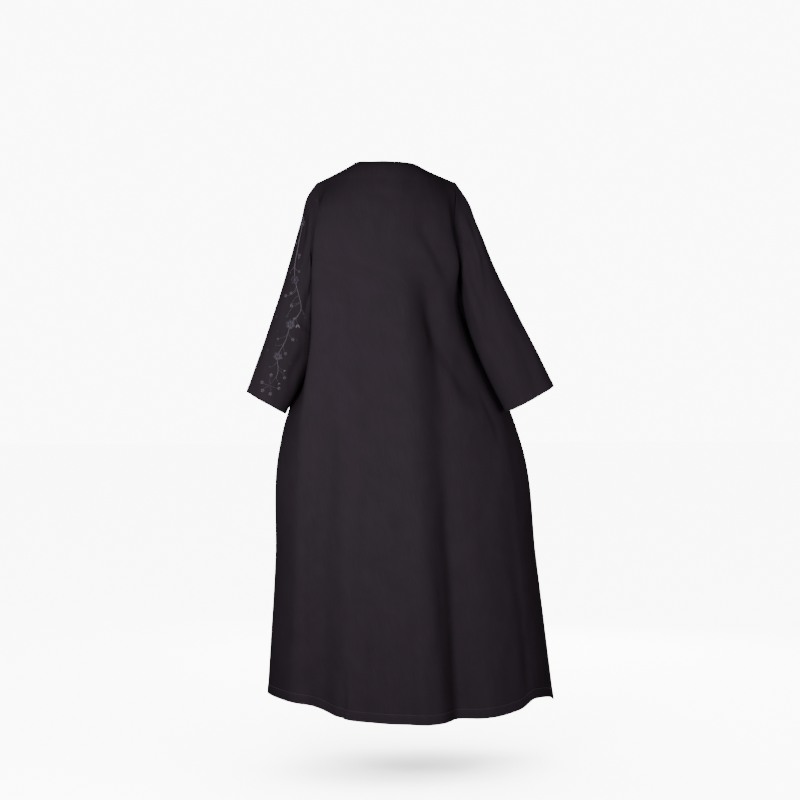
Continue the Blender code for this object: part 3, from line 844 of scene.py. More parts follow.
def shape_body(piece, creasing):
    """How far creases, flutes and seam ridges move the cloth of a body piece outwards. Its
    texture places are kept in the piece."""
    grid = piece["grid"]
    x, drop = grid[..., 0], -grid[..., 2]
    across_arc = arc_lengths(grid)
    down_arc = arc_lengths(grid.swapaxes(0, 1)).T
    to_right, to_left = across_arc, across_arc[:, -1:] - across_arc
    side_seams = {"back": [to_right, to_left], "front_left": [to_left], "front_right": [to_right]}
    from_side = np.minimum.reduce(side_seams[piece["name"]])
    on_shoulder = piece["across"] >= NECK_SHARE
    from_seam = np.minimum(from_side, np.where(on_shoulder, down_arc, FAR))
    free = smooth_step(from_seam / SEAM_FADE)
    places = np.stack([x, drop], axis=-1)
    offset = crease_offset(BODY_CREASES[piece["face"]], places) * creasing
    low = 1 - smooth_step(piece["above"] / FLUTE_LENGTH)
    wander = FLUTE_WANDER * np.sin(FLUTE_WANDER_RATE * x)
    flutes = np.sin(2 * math.pi * (x / FLUTE_WIDTH + wander)) * FLUTE_HEIGHT * low
    offset += (flutes + uneven_offset(x, drop)) * creasing
    puff = np.where(x > 0, armhole_puff(LEFT, drop), armhole_puff(RIGHT, drop))
    by_armhole = np.where(from_seam < from_side, 1.0, puff)
    offset = offset * free + seam_ridge(from_seam) * by_armhole
    piece["u"], piece["v"] = across_arc, down_arc
    return offset


def sleeve_arcs(grid):
    """Distances round each ring from the overarm line, towards the back, and along."""
    count = grid.shape[1]
    closed = np.concatenate([grid, grid[:, :1]], axis=1)
    arc = arc_lengths(closed)
    round_back = arc[:, :-1]
    round_front = arc[:, :-1] - arc[:, -1:]
    towards_back = np.arange(count) <= count // 2
    along = arc_lengths(grid.swapaxes(0, 1)).T
    return np.where(towards_back, round_back, round_front), along


def shape_sleeve(piece, creasing):
    """How far creases and the ridges of its seams move the cloth of a sleeve outwards. Its
    texture places are kept in the piece."""
    arc, along = sleeve_arcs(piece["grid"])
    underarm = np.abs(arc[:, ARMHOLE_ROWS : ARMHOLE_ROWS + 1])
    from_underarm = underarm - np.minimum(np.abs(arc), underarm)
    free = smooth_step(along / ARMHOLE_FADE) * smooth_step(from_underarm / UNDERARM_FADE)
    length_down = np.broadcast_to(along[:, :1], along.shape)
    places = np.stack([arc, length_down], axis=-1)
    offset = crease_offset(SLEEVE_CREASES[piece["side"]], places) * creasing
    offset += uneven_offset(arc, along) * creasing
    puff = armhole_puff(piece["side"], -piece["grid"][:1, :, 2])
    offset = offset * free + seam_ridge(along) * puff
    offset += seam_ridge(from_underarm) * smooth_step(along / UNDERARM_RIDGE_START)
    piece["u"], piece["v"] = arc, along
    return offset


def turned_edge(above, line, stitched):
    """How much a turned edge thickens each side of the wall at a height above the edge."""
    share_above = STITCHED_SHARE_ABOVE if stitched else PLAIN_SHARE_ABOVE
    turned = smooth_step((line - above) / TURN_FADE + share_above)
    swell = TURN_SWELL * turned * np.where(above < ROUNDED_HEIGHT, ROUNDED_SWELL, 1.0)
    if stitched:
        swell = swell - STITCH_PULL * np.exp(-(((above - line) / STITCH_PULL_WIDTH) ** 2))
    return swell


@functools.lru_cache(maxsize=1)
def sewn_pieces(thickness, creasing):
    """All five pieces, creased, turned at their edges and sewn together."""
    pieces = [
        body_piece("back", "back", (RIGHT, LEFT)),
        body_piece("front_left", "front", (LEFT,)),
        body_piece("front_right", "front", (RIGHT,)),
        sleeve_piece("sleeve_left", LEFT),
        sleeve_piece("sleeve_right", RIGHT),
    ]
    for piece in pieces:
        normals = corner_normals(piece)
        sleeve = piece["wraps"]
        offset = shape_sleeve(piece, creasing) if sleeve else shape_body(piece, creasing)
        piece["grid"] = piece["grid"] + normals * offset[..., None]
        line = CUFF_TURN if sleeve else STITCH_ROW
        piece["half"] = thickness / 2 + turned_edge(piece["above"], line, not sleeve)
    sew(pieces)
    return {piece["name"]: piece for piece in pieces}


def cloth_mesh(piece):
    """A closed wall of cloth: two skins from one grid, bridged at their edges."""
    grid, offsets, u, v = (piece[k] for k in ("grid", "offsets", "u", "v"))
    if piece["wraps"]:
        turn = grid.shape[1] // 2
        order = np.arange(turn, turn + grid.shape[1] + 1) % grid.shape[1]
        grid, offsets, u, v = (a[:, order] for a in (grid, offsets, u, v))
        u = u.copy()
        u[:, 0] = np.where(u[:, 1] < 0, -np.abs(u[:, 0]), np.abs(u[:, 0]))
        u[:, -1] = np.where(u[:, -2] < 0, -np.abs(u[:, -1]), np.abs(u[:, -1]))
    rows, columns = grid.shape[:2]
    mesh = bmesh.new()
    layer = mesh.loops.layers.uv.new("cloth")
    bmesh.ops.create_grid(mesh, x_segments=columns - 1, y_segments=rows - 1, size=0.5)
    outer = list(mesh.verts)
    copied = bmesh.ops.duplicate(mesh, geom=mesh.verts[:] + mesh.edges[:] + mesh.faces[:])
    inner = [copied["vert_map"][vert] for vert in outer]
    for skin, way in ((outer, 1), (inner, -1)):
        places = (grid + way * offsets).reshape(-1, 3)
        for vert, place, uv in zip(skin, places, np.stack([u, v], -1).reshape(-1, 2)):
            vert.co = place
            for loop in vert.link_loops:
                loop[layer].uv = uv
    turned = outer if not piece["flip"] else inner
    bmesh.ops.reverse_faces(mesh, faces=list({face for vert in turned for face in vert.link_faces}))
    skins = mesh.faces[:]
    if piece["wraps"]:
        ends = [k for r in range(rows) for k in (r * columns, (r + 1) * columns - 1)]
        seams = [skin[k] for skin in (outer, inner) for k in ends]
        bmesh.ops.remove_doubles(mesh, verts=seams, dist=SAME_PLACE)
        edges = [edge for edge in mesh.edges if edge.is_boundary]
        top = [edge for edge in edges if edge.verts[0].co.z > -BETWEEN_RIMS_DROP]
        low = [edge for edge in edges if edge.verts[0].co.z <= -BETWEEN_RIMS_DROP]
        rims = [top, low]
    else:
        rims = [[edge for edge in mesh.edges if edge.is_boundary]]
    known = set(skins)
    for rim in rims:
        bmesh.ops.bridge_loops(mesh, edges=rim)
    for face in mesh.faces:
        if face in known:
            continue
        for loop in face.loops:
            beside = next(other for other in loop.vert.link_loops if other.face in known)
            loop[layer].uv = beside[layer].uv
    if mesh.calc_volume(signed=True) < 0:
        bmesh.ops.reverse_faces(mesh, faces=mesh.faces[:])
    return mesh


def linear(colour):
    """An sRGB hex colour as linear red, green and blue with full cover."""
    channels = [int(colour[i : i + 2], 16) / 255 for i in (1, 3, 5)]
    values = [c / 12.92 if c <= 0.04045 else ((c + 0.055) / 1.055) ** 2.4 for c in channels]
    return (*values, 1.0)


def add_node(tree, kind, sockets=None, **settings):
    """A new node with its settings. Each socket takes a value, or another node's output."""
    node = tree.nodes.new("ShaderNode" + kind)
    for name, value in settings.items():
        setattr(node, name, value)
    for name, value in (sockets or {}).items():
        if isinstance(value, bpy.types.NodeSocket):
            tree.links.new(value, node.inputs[name])
        else:
            node.inputs[name].default_value = value
    return node


def new_material(name):
    """An empty material, with its tree and its surface shader."""
    material = bpy.data.materials.new(name)
    material.use_nodes = True
    return material, material.node_tree, material.node_tree.nodes["Principled BSDF"]


def spread(tree, noise, low, high):
    """A noise's usual range stretched to a new one."""
    sockets = {"Value": noise.outputs["Fac"], "From Min": NOISE_LOW, "From Max": NOISE_HIGH}
    sockets |= {"To Min": low, "To Max": high}
    return add_node(tree, "MapRange", sockets).outputs["Result"]


def crepe(name, colour):
    """Polyester crepe, dyed black and woven from hard-twisted yarn: a matt, finely pebbled face
    without shine, and slightly uneven depth of dye."""
    material, tree, shader = new_material(name)
    shader.inputs["Roughness"].default_value = 0.86
    shader.inputs["Specular IOR Level"].default_value = 0.0
    place = add_node(tree, "UVMap", uv_map="cloth").outputs["UV"]
    cloud = add_node(
        tree, "TexNoise", {"Vector": place, "Scale": 1 / DYE_PATCH, "Detail": 5.0, "Roughness": 0.62}
    )
    # Streaks of uneven yarn run down the cloth
    thin = (1 / STREAK_WIDTH, 1 / STREAK_LENGTH, 1.0)
    stretched = add_node(tree, "Mapping", {"Vector": place, "Scale": thin}).outputs["Vector"]
    streak = add_node(tree, "TexNoise", {"Vector": stretched, "Scale": 1.0, "Detail": 3.0})
    depth = spread(tree, cloud, 0.94, 1.06)
    yarn = spread(tree, streak, 0.95, 1.05)
    both = add_node(tree, "Math", {0: depth, 1: yarn}, operation="MULTIPLY")
    dyed = add_node(
        tree, "HueSaturation", {"Color": tuple(colour), "Value": both.outputs["Value"]}
    )
    tree.links.new(dyed.outputs["Color"], shader.inputs["Base Color"])
    pebble = add_node(
        tree, "TexNoise", {"Vector": place, "Scale": 1 / PEBBLE_SIZE, "Detail": 2.0, "Roughness": 0.6}
    )
    slack = add_node(
        tree, "TexNoise", {"Vector": place, "Scale": 1 / SLACK_SIZE, "Detail": 4.0, "Roughness": 0.55}
    )
    soft = add_node(
        tree, "Bump", {"Height": slack.outputs["Fac"], "Strength": 0.4, "Distance": 0.0009}
    )
    fine = add_node(
        tree,
        "Bump",
        {
            "Height": pebble.outputs["Fac"],
            "Normal": soft.outputs["Normal"],
            "Strength": 0.35,
            "Distance": 0.0006,
        },
    )
    tree.links.new(fine.outputs["Normal"], shader.inputs["Normal"])
    return material


def satin_thread(name, colour):
    """Viscose embroidery thread laid in satin stitch: smooth parallel strands that catch the
    light along their ridges, in slightly uneven grey."""
    material, tree, shader = new_material(name)
    shader.inputs["Roughness"].default_value = 0.48
    shader.inputs["Specular IOR Level"].default_value = 0.2
    place = add_node(tree, "UVMap", uv_map="thread").outputs["UV"]
    # A wave at scale 1 repeats after a tenth of pi
    scale = math.pi / 10 / STRAND_GAP
    strands = add_node(
        tree, "TexWave", {"Vector": place, "Scale": scale, "Distortion": 0.6, "Detail": 1.0}
    )
    shade = add_node(
        tree, "TexNoise", {"Vector": place, "Scale": 1 / SHADE_PATCH, "Detail": 2.0}
    )
    deep = spread(tree, shade, 0.75, 1.2)
    dyed = add_node(tree, "HueSaturation", {"Color": tuple(colour), "Value": deep})
    tree.links.new(dyed.outputs["Color"], shader.inputs["Base Color"])
    ridges = add_node(
        tree, "Bump", {"Height": strands.outputs["Fac"], "Strength": 0.5, "Distance": 0.0003}
    )
    tree.links.new(ridges.outputs["Normal"], shader.inputs["Normal"])
    return material


def finish_piece(mesh, name, material, on=None):
    """The finished object of a piece, at the origin, shaded smooth but for its sharp edges. It
    rides on the cloak, by itself or with the cloth that it is sewn on."""
    data = bpy.data.meshes.new(name)
    mesh.to_mesh(data)
    mesh.free()
    data.materials.append(material)
    data.shade_smooth()
    data.set_sharp_from_angle(angle=math.radians(SHARP_DEGREES))
    item = bpy.data.objects.new(name, data)
    bpy.context.scene.collection.objects.link(item)
    if on:
        item.parent = bpy.data.objects[on]
    else:
        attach(item, "root")
    return item


class CloakClothSettings(bpy.types.PropertyGroup):
    """Sizes and colour of the cloth"""

    thickness: FloatProperty(
        name="Thickness",
        description="Thickness of one layer of the cloth's wall",
        default=0.0013,
        min=0.0006,
        max=0.003,
        precision=4,
        unit="LENGTH",
    )
    creasing: FloatProperty(
        name="Creasing",
        description="How deep the creases are, as a share of their usual depth",
        default=1.0,
        min=0.0,
        max=2.0,
        subtype="FACTOR",
    )
    colour: FloatVectorProperty(
        name="Cloth colour",
        description="Dye of the crepe",
        default=linear("#201b20"),
        size=4,
        min=0.0,
        max=1.0,
        subtype="COLOR",
    )


class CloakStitchSettings(bpy.types.PropertyGroup):
    """Sizes and colour of the hem's topstitching"""

    length: FloatProperty(
        name="Stitch length",
        description="Length of one stitch",
        default=0.0034,
        min=0.001,
        max=0.01,
        precision=4,
        unit="LENGTH",
    )
    gap: FloatProperty(
        name="Stitch gap",
        description="Gap between two stitches",
        default=0.0008,
        min=0.0002,
        max=0.005,
        precision=4,
        unit="LENGTH",
    )
    thread: FloatProperty(
        name="Thread",
        description="Thickness of the sewing thread",
        default=0.0010,
        min=0.0002,
        max=0.002,
        precision=4,
        unit="LENGTH",
    )
    colour: FloatVectorProperty(
        name="Thread colour",
        description="Colour of the sewing thread",
        default=linear("#2c282e"),
        size=4,
        min=0.0,
        max=1.0,
        subtype="COLOR",
    )


class CloakEmbroiderySettings(bpy.types.PropertyGroup):
    """Sizes and colour of the sleeve's embroidery"""

    height: FloatProperty(
        name="Height",
        description="How far the satin stitches stand out from the cloth",
        default=0.0010,
        min=0.0003,
        max=0.003,
        precision=4,
        unit="LENGTH",
    )
    stem_width: FloatProperty(
        name="Stem width",
        description="Width of the main stem at its thickest",
        default=0.0018,
        min=0.001,
        max=0.006,
        precision=4,
        unit="LENGTH",
    )
    colour: FloatVectorProperty(
        name="Embroidery colour",
        description="Colour of the stems and blossoms",
        default=linear("#463e49"),
        size=4,
        min=0.0,
        max=1.0,
        subtype="COLOR",
    )
    # Darker thread of the leaves and faint blossoms. On the roses' petals its dark colour is painted
    # shade, standing in for the shadows between their light rims.
    shade: FloatVectorProperty(
        name="Shaded thread",
        description="Colour of the darker petals and leaves",
        default=linear("#1f1824"),
        size=4,
        min=0.0,
        max=1.0,
        subtype="COLOR",
    )


class CloakStudioSettings(bpy.types.PropertyGroup):
    """Floor and lights"""

    floor_drop: FloatProperty(
        name="Floor drop",
        description="How far the floor is below the shoulders",
        default=1.527,
        min=1.4,
        max=2.0,
        unit="LENGTH",
    )
    floor_size: FloatProperty(
        name="Floor size",
        description="Width of the floor",
        default=60.0,
        min=2.0,
        max=200.0,
        unit="LENGTH",
    )
    key_power: FloatProperty(
        name="Main light",
        description="Power of the main soft light",
        default=54.5,
        min=0.0,
        max=1000.0,
        unit="POWER",
    )
    surround: FloatProperty(
        name="Surround",
        description="Strength of the white surround as a light",
        default=0.36,
        min=0.0,
        max=5.0,
    )
    backdrop: FloatProperty(
        name="Backdrop",
        description="How bright the surround and the floor look behind the cloak",
        default=10.0,
        min=0.0,
        max=40.0,
    )
    floor_colour: FloatVectorProperty(
        name="Floor colour",
        description="Colour of the floor",
        default=linear("#f6f5f3"),
        size=4,
        min=0.0,
        max=1.0,
        subtype="COLOR",
    )


def cut_piece(context, name):
    """One sewn piece, at the panel's settings."""
    settings = context.scene.cloak_cloth
    return sewn_pieces(settings.thickness, settings.creasing)[name]


def make_cloth(context, name):
    """Makes one cloth piece in place of its solid."""
    title = "cloth_" + name
    material = crepe("black_crepe_" + name, context.scene.cloak_cloth.colour)
    item = finish_piece(cloth_mesh(cut_piece(context, name)), title, material)
    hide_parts(name)


class CLOAK_OT_body(bpy.types.Operator):
    """Make the back and the two fronts"""

    bl_idname = "cloak.body"
    bl_label = "Back and fronts"

    def execute(self, context):
        make_cloth(context, "back")
        make_cloth(context, "front_left")
        make_cloth(context, "front_right")
        return {"FINISHED"}


class CLOAK_OT_sleeves(bpy.types.Operator):
    """Make the two set-in sleeves"""

    bl_idname = "cloak.sleeves"
    bl_label = "Sleeves"

    def execute(self, context):
        for side in ("left", "right"):
            make_cloth(context, "sleeve_" + side)
        return {"FINISHED"}


def bead():
    """The mesh of one round bead, a unit ball with its poles on Z, to be repeated."""
    mesh = bmesh.new()
    bmesh.ops.create_uvsphere(mesh, u_segments=BEAD_SEGMENTS, v_segments=BEAD_RINGS, radius=1.0)
    data = bpy.data.meshes.new("bead")
    mesh.to_mesh(data)
    mesh.free()
    return data


def repeated(data, places, uvs):
    """One mesh that holds a bead many times over, each moved to its own places."""
    mesh = bmesh.new()
    layer = mesh.loops.layers.uv.new("thread")
    for _ in places:
        mesh.from_mesh(data)
    mesh.verts.index_update()
    for vert, place in zip(mesh.verts, places.reshape(-1, 3)):
        vert.co = place
    flat = uvs.reshape(-1, 2)
    for face in mesh.faces:
        for loop in face.loops:
            loop[layer].uv = flat[loop.vert.index]
    bmesh.ops.recalc_face_normals(mesh, faces=mesh.faces[:])
    return mesh


def points_at(passed, line, at):
    """The points of a line at distances along it."""
    return np.stack([np.interp(at, passed, line[:, i]) for i in range(3)], axis=-1)


def stitch_places(line, outs, settings, unit_bead):
    """Places of every bead vertex of the stitches along a line of points."""
    passed = arc_lengths(line)
    count = int(passed[-1] // (settings.length + settings.gap))
    at = (np.arange(count) + 0.5) * passed[-1] / count
    start = points_at(passed, line, at - settings.length / 2)
    end = points_at(passed, line, at + settings.length / 2)
    out = unit(points_at(passed, outs, at))
    along = (end - start) / 2
    beside = unit(np.cross(out, along)) * settings.thread / 2
    turn = np.stack([beside, out * settings.thread * STITCH_HEIGHT, along], axis=1)
    return unit_bead @ turn + ((start + end) / 2)[:, None]


class CLOAK_OT_hem_stitching(bpy.types.Operator):
    """Sew the row of stitches that holds the turned hem, on both faces of the cloth"""

    bl_idname = "cloak.hem_stitching"
    bl_label = "Hem stitching"

    def execute(self, context):
        settings = context.scene.cloak_stitches
        material = satin_thread("polyester_sewing_thread", settings.colour)
        thread_bead = bead()
        ball = np.array([vert.co for vert in thread_bead.vertices])
        for name in ("back", "front_left", "front_right"):
            piece = cut_piece(context, name)
            row = len(piece["grid"]) - len(HEM_ROWS) + HEM_ROWS.index(STITCH_ROW)
            grid, offsets = piece["grid"][row, 1:-1], piece["offsets"][row, 1:-1]
            faces = [(grid + way * offsets, way * offsets) for way in (1, -1)]
            places = np.concatenate([stitch_places(*face, settings, ball) for face in faces])
            uvs = np.broadcast_to(ball[:, :2] * STITCH_TEXTURE_SIZE, (*places.shape[:2], 2))
            stitches = repeated(thread_bead, places, uvs)
            finish_piece(stitches, "hem_stitches_" + name, material, on="cloth_" + name)
        return {"FINISHED"}


def sleeve_chart(piece):
    """A sleeve's outer face as a flat chart: places and directions at even steps round from the
    overarm line, towards the back, and down the sleeve, square to it."""
    outer = piece["grid"] + piece["offsets"]
    half = outer.shape[1] // 2
    outer = outer[:, np.arange(-half, half + 1) % outer.shape[1]]
    top, cuff = outer[0, half], outer[-1, half]
    down = (outer - top) @ unit(cuff - top)
    levels = np.arange(0, down[-1, half], CHART_STEP)
    columns = range(outer.shape[1])
    cuts = np.stack([points_at(down[:, c], outer[:, c], levels) for c in columns], axis=1)
    arcs = arc_lengths(cuts)
    arcs = arcs - arcs[:, half : half + 1]
    rounds = np.arange(-CHART_REACH, CHART_REACH + CHART_STEP / 2, CHART_STEP)
    places = np.stack([points_at(arc, cut, rounds) for arc, cut in zip(arcs, cuts)])
    outs = unit(np.cross(np.gradient(places, axis=0), np.gradient(places, axis=1)))
    return places, outs


def laid_on(chart, flat):
    """Places on the sleeve of points drawn flat as (round, along, height)."""
    places, outs = chart
    rows, columns = places.shape[:2]
    r = np.clip(flat[..., 1] / CHART_STEP, 0, rows - 1.001)
    c = np.clip((flat[..., 0] + CHART_REACH) / CHART_STEP, 0, columns - 1.001)
    i, j = r.astype(int), c.astype(int)
    a, b = (r - i)[..., None], (c - j)[..., None]

    def between(grid):
        upper = grid[i, j] * (1 - b) + grid[i, j + 1] * b
        lower = grid[i + 1, j] * (1 - b) + grid[i + 1, j + 1] * b
        return upper * (1 - a) + lower * a

    return between(places) + unit(between(outs)) * flat[..., 2:3]


def heading(way):
    """The direction at an angle from straight down the sleeve, towards the back if positive."""
    return np.stack([np.sin(way), np.cos(way)], axis=-1)


def pads(specs, chart, ball):
    """Places and thread directions of satin pads on the sleeve. Each spec is a root place, the
    way the pad points, its length, width and height, and how narrow its root and its tip are."""
    x, y, z = ball.T
    columns = np.array(specs).T[:, :, None]
    root_r, root_d, way, length, width, height, root, tip = columns
    t = (z + 1) / 2
    across = x * width / 2 * (1 - root * (1 - t) ** NARROWING_POWER) * (1 - tip * t**2)
    along = t * length
    up = np.where(y > 0, y, y * UNDERSIDE) * height
    from_root = along[..., None] * heading(way) + across[..., None] * heading(way + math.pi / 2)
    flat = np.stack([root_r + from_root[..., 0], root_d + from_root[..., 1], up], axis=-1)
    return laid_on(chart, flat), np.stack([across, along], axis=-1)


def petals_round(place, radius, count, way, height, fullness=PETAL_FULLNESS):
    """The petals of a blossom."""
    specs = []
    for turn in way + 2 * math.pi * np.arange(count) / count:
        root = place + radius * PETAL_ROOT * heading(turn)
        width = fullness * radius * math.sin(math.pi / count)
        specs.append((*root, turn, radius * PETAL_LENGTH, width, height, PETAL_NARROWING, 0.0))
    return specs


def knot(place, size, height):
    """A round knot of thread."""
    return (place[0], place[1] - size / 2, 0.0, size, size, height, 0.0, 0.0)


def thread_line(points, width, end_width, lift=0.0):
    """A smooth line through points, its widths from one pointed end to the other, and how far
    it is lifted."""
    line = smooth_line(points)
    share = np.linspace(0, 1, len(line))
    near_end = np.minimum(share, 1 - share)
    fullness = POINT_WIDTH + (1 - POINT_WIDTH) * smooth_step(near_end / POINT_LENGTH)
    widths = (width + (end_width - width) * share) * fullness
    widths[[0, -1]] = 0.0
    return line, widths, lift


def arc_line(middle, radius, start, end, width, lift):
    """A line of thread along part of a circle."""
    points = middle + radius * heading(np.linspace(start, end, 5))
    return thread_line(points, width, width, lift)


def rose_rims(place, radius, way, height):
    """The light lines of a full blossom: the rims of its petals round a coil of arcs."""
    rims = []
    for turn in way + 2 * math.pi * np.arange(ROSE_PETALS) / ROSE_PETALS:
        middle = place + radius * RIM_PLACE * heading(turn)
        start, end = turn + RIM_ARC[0], turn + RIM_ARC[1]
        rims.append(arc_line(middle, radius * RIM_RADIUS, start, end, RIM_WIDTH, height))
    for turn in COIL_STARTS:
        start, end = way + turn, way + turn + COIL_ARC
        rims.append(arc_line(place, radius * COIL_RADIUS, start, end, RIM_WIDTH, height))
    return rims


def satin_line(chart, line, widths, lift, height):
    """A raised line of satin stitch: a tube with pointed ends and a flat underside."""
    mesh = bmesh.new()
    layer = mesh.loops.layers.uv.new("thread")
    bmesh.ops.create_grid(mesh, x_segments=STEM_SIDES, y_segments=len(line) - 1, size=0.5)
    turn = np.linspace(0, 2 * math.pi, STEM_SIDES + 1)
    along = unit(np.gradient(line, axis=0))
    beside = np.stack([along[:, 1], -along[:, 0]], axis=-1)
    across = widths[:, None] / 2 * np.cos(turn)
    fullness = np.minimum(widths / widths.max() + THIN_HEIGHT, 1.0) * (widths > 0)
    round_the_line = np.where(np.sin(turn) > 0, 1.0, UNDERSIDE) * np.sin(turn)
    up = fullness[:, None] * height * round_the_line + lift
    flat = line[:, None] + across[..., None] * beside[:, None]
    places = laid_on(chart, np.concatenate([flat, up[..., None]], axis=-1)).reshape(-1, 3)
    passed = arc_lengths(line)[:, None]
    uvs = np.stack([passed + across, passed - across], axis=-1).reshape(-1, 2)
    for vert, place, uv in zip(list(mesh.verts), places, uvs):
        vert.co = place
        for loop in vert.link_loops:
            loop[layer].uv = uv
    bmesh.ops.remove_doubles(mesh, verts=mesh.verts[:], dist=SAME_PLACE)
    bmesh.ops.recalc_face_normals(mesh, faces=mesh.faces[:])
    return mesh


def twig(stem, ways, at, turn, reach, bend, width):
    """A twig's line, the place of its tip, and the way that it points."""
    k = round(at * STEM_STEPS)
    way = math.atan2(*ways[k]) + math.radians(turn)
    shares = np.linspace(0, 1, 4)[:, None]
    sideways = bend * 4 * shares * (1 - shares) * heading(way + math.pi / 2)
    points = stem[k] + reach * shares * heading(way) + sideways
    line = thread_line(points, width * TWIG_WIDTH, width * TWIG_TIP_WIDTH)
    return line, points[-1], way


def end_of_twig(kind, tip, way, size, height):
    """The pads at the tip of a twig in the light thread, and those in the darker thread."""
    if kind == LEAF:
        leaf = [
            (*tip, way + turn, size * length, size, height, *LEAF_NARROWING)
            for turn, length in LEAF_PADS
        ]
        return [], leaf
    if kind == BUD:
        length, width = size * BUD_LENGTH, size * BUD_WIDTH
        bud = [(*tip, way + turn, length, width, height, *BUD_NARROWING) for turn in BUD_TURNS]
        return bud, []
    petals = petals_round(tip, size, TWIG_PETALS, way, height)
    middle = [knot(tip, size * KNOT_SIZE, height * KNOT_HEIGHT)]
    return (petals, middle) if kind == BLOSSOM else (middle, petals)


def joined(chart, lines, height):
    """One mesh of all lines of thread."""
    mesh = bmesh.new()
    part = bpy.data.meshes.new("line")
    for line, widths, lift in lines:
        made = satin_line(chart, line, widths, lift, height)
        made.to_mesh(part)
        made.free()
        mesh.from_mesh(part)
    bpy.data.meshes.remove(part)
    return mesh


class CLOAK_OT_embroidery(bpy.types.Operator):
    """Embroider the flowering branch down the left sleeve"""

    bl_idname = "cloak.embroidery"
    bl_label = "Sleeve embroidery"

    def execute(self, context):
        settings = context.scene.cloak_embroidery
        chart = sleeve_chart(cut_piece(context, "sleeve_left"))
        height, width = settings.height, settings.stem_width
        stem = smooth_line(STEM, STEM_STEPS)
        ways = np.gradient(stem, axis=0)
        lines = [thread_line(STEM, width, width * STEM_TIP_WIDTH)]
        light, dark_and_painted_shade_pads = [], []
        for at, turn, reach, bend, kind, size in TWIGS:
            line, tip, way = twig(stem, ways, at, turn, reach, bend, width)
            lines.append(line)
            for pads_made, more in zip((light, dark_and_painted_shade_pads), end_of_twig(kind, tip, way, size, height)):
                pads_made += more
        for x, down, radius, count, way in LOOSE_BLOSSOMS:
            dark_and_painted_shade_pads += petals_round(np.array([x, down]), radius, count, way, height)
        for x, down, radius, way in ROSES:
            place = np.array([x, down])
            petal_height = height * ROSE_HEIGHT
            # The roses' petals are pads of the darker thread: their dark colour is painted shade,
            # standing in for the shadows between the light rims and coils.
            dark_and_painted_shade_pads += petals_round(place, radius, ROSE_PETALS, way, petal_height, ROSE_FULLNESS)
            lines += rose_rims(place, radius, way, height * LINE_HEIGHT)
            light.append(knot(place, radius * ROSE_KNOT_SIZE, height * ROSE_KNOT_HEIGHT))

        light_thread = satin_thread("grey_viscose_thread", settings.colour)
        # The darker thread of the leaves and faint blossoms also paints the shade on the roses' petals.
        dark_thread_and_painted_shade = satin_thread("dark_grey_thread_and_painted_shade", settings.shade)
        pad_bead = bead()
        ball = np.array([vert.co for vert in pad_bead.vertices])
        for name, mesh, thread in (
            ("embroidered_stems", joined(chart, lines, height * LINE_HEIGHT), light_thread),
            ("embroidered_petals", repeated(pad_bead, *pads(light, chart, ball)), light_thread),
            # Leaves and faint blossoms in the darker thread, and the roses' petals, whose dark colour is
            # painted shade.
            ("embroidered_dark_pads_and_painted_shade", repeated(pad_bead, *pads(dark_and_painted_shade_pads, chart, ball)), dark_thread_and_painted_shade),
        ):
            finish_piece(mesh, name, thread, on="cloth_sleeve_left")
        return {"FINISHED"}


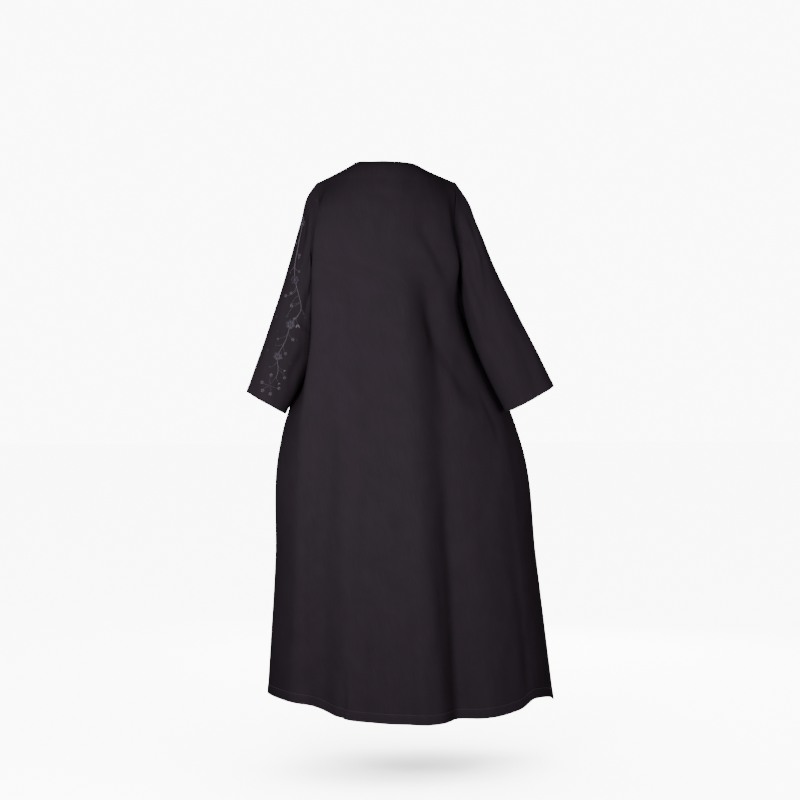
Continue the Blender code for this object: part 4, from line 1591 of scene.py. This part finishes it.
class CLOAK_OT_studio(bpy.types.Operator):
    """Lay the floor, and set the camera and the soft lights"""

    bl_idname = "cloak.studio"
    bl_label = "Floor, camera and lights"

    def execute(self, context):
        settings = context.scene.cloak_studio
        mesh = bmesh.new()
        bmesh.ops.create_grid(mesh, x_segments=1, y_segments=1, size=settings.floor_size / 2)
        bmesh.ops.translate(mesh, verts=mesh.verts, vec=(0, 0, -settings.floor_drop))
        data = bpy.data.meshes.new("floor")
        mesh.to_mesh(data)
        mesh.free()
        floor = bpy.data.objects.new("floor", data)
        context.scene.collection.objects.link(floor)
        material, tree, shader = new_material("matt_white_paint")
        shader.inputs["Roughness"].default_value = 0.9
        shader.inputs["Specular IOR Level"].default_value = 0.2
        shader.inputs["Base Color"].default_value = settings.floor_colour
        data.materials.append(material)

        # The camera looks level from behind and slightly from the wearer's left
        turn = math.radians(CAMERA_TURN)
        toward = Vector((math.sin(turn), math.cos(turn), 0))
        beside = Vector((-math.cos(turn), math.sin(turn), 0))
        camera = bpy.data.objects.new("camera", bpy.data.cameras.new("camera"))
        context.scene.collection.objects.link(camera)
        level = Vector((0, 0, -CAMERA_DROP))
        camera.location = toward * CAMERA_DISTANCE + beside * CAMERA_BESIDE + level
        camera.rotation_mode = "QUATERNION"
        camera.rotation_quaternion = (-toward).to_track_quat("-Z", "Y")
        camera.data.sensor_width = SENSOR_WIDTH
        camera.data.lens = FOCAL_PIXELS / PICTURE_PIXELS * SENSOR_WIDTH
        context.scene.camera = camera

        # The surround is bright behind the cloak and dimmer as a light on it
        world = bpy.data.worlds.new("white_surround")
        world.use_nodes = True
        tree = world.node_tree
        soft = tree.nodes["Background"]
        soft.inputs["Strength"].default_value = settings.surround
        bright = add_node(tree, "Background", {"Strength": settings.backdrop})
        seen = add_node(tree, "LightPath").outputs["Is Camera Ray"]
        for background in (soft, bright):
            background.inputs["Color"].default_value = (1, 1, 1, 1)
        both = add_node(
            tree, "MixShader", {0: seen, 1: soft.outputs["Background"], 2: bright.outputs["Background"]}
        )
        tree.links.new(both.outputs["Shader"], tree.nodes["World Output"].inputs["Surface"])
        context.scene.world = world

        # A wide lamp straight above lights the floor alone, as bright as the surround behind it
        lamp = bpy.data.lights.new("floor_light", "SUN")
        lamp.energy = settings.backdrop * math.pi
        lamp.angle = math.radians(FLOOR_LAMP_DEGREES)
        lamp_item = bpy.data.objects.new("floor_light", lamp)
        context.scene.collection.objects.link(lamp_item)
        lit = bpy.data.collections.new("floor_only")
        lit.objects.link(floor)
        lamp_item.light_linking.receiver_collection = lit
        floor.visible_diffuse = False
        floor.visible_glossy = False

        aim = Vector((0, 0, -LIGHTS_AIM_DROP))
        for name, share, width, towards, aside, up in SOFTBOXES:
            light = bpy.data.lights.new(name, "AREA")
            light.energy = settings.key_power * share
            light.shape = "SQUARE"
            light.size = width
            item = bpy.data.objects.new(name, light)
            context.scene.collection.objects.link(item)
            place = toward * towards + beside * aside + Vector((0, 0, up))
            item.location = place
            item.rotation_mode = "QUATERNION"
            item.rotation_quaternion = (aim - place).to_track_quat("-Z", "Y")
            item.visible_camera = False
            item.visible_glossy = name == "main_softbox"
        return {"FINISHED"}


class CLOAK_PT_panel(bpy.types.Panel):
    """The cloak's pieces and their settings"""

    bl_label = "Abaya cloak"
    bl_idname = "CLOAK_PT_panel"
    bl_space_type = "VIEW_3D"
    bl_region_type = "UI"
    bl_category = "Cloak"

    def draw(self, context):
        for group, properties, operators in PANEL_ROWS:
            box = self.layout.box()
            for name in properties:
                box.prop(getattr(context.scene, group), name)
            for operator in operators:
                box.operator(operator)


PANEL_ROWS = (
    ("cloak_cloth", ("thickness", "creasing", "colour"), ("cloak.body", "cloak.sleeves")),
    ("cloak_stitches", ("length", "gap", "thread", "colour"), ("cloak.hem_stitching",)),
    ("cloak_embroidery", ("height", "stem_width", "colour", "shade"), ("cloak.embroidery",)),
    (
        "cloak_studio",
        ("floor_drop", "floor_size", "key_power", "surround", "backdrop", "floor_colour"),
        ("cloak.studio",),
    ),
)
CLASSES = (
    CloakClothSettings,
    CloakStitchSettings,
    CloakEmbroiderySettings,
    CloakStudioSettings,
    CLOAK_OT_body,
    CLOAK_OT_sleeves,
    CLOAK_OT_hem_stitching,
    CLOAK_OT_embroidery,
    CLOAK_OT_studio,
    CLOAK_PT_panel,
)


def register():
    for kind in CLASSES:
        bpy.utils.register_class(kind)
    bpy.types.Scene.cloak_cloth = PointerProperty(type=CloakClothSettings)
    bpy.types.Scene.cloak_stitches = PointerProperty(type=CloakStitchSettings)
    bpy.types.Scene.cloak_embroidery = PointerProperty(type=CloakEmbroiderySettings)
    bpy.types.Scene.cloak_studio = PointerProperty(type=CloakStudioSettings)


def unregister():
    for name in ("cloak_cloth", "cloak_stitches", "cloak_embroidery", "cloak_studio"):
        delattr(bpy.types.Scene, name)
    for kind in reversed(CLASSES):
        bpy.utils.unregister_class(kind)


def main():
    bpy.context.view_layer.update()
    register()
    bpy.ops.cloak.body()
    bpy.ops.cloak.sleeves()
    bpy.ops.cloak.hem_stitching()
    bpy.ops.cloak.embroidery()
    bpy.ops.cloak.studio()


if __name__ == "__main__":
    main()
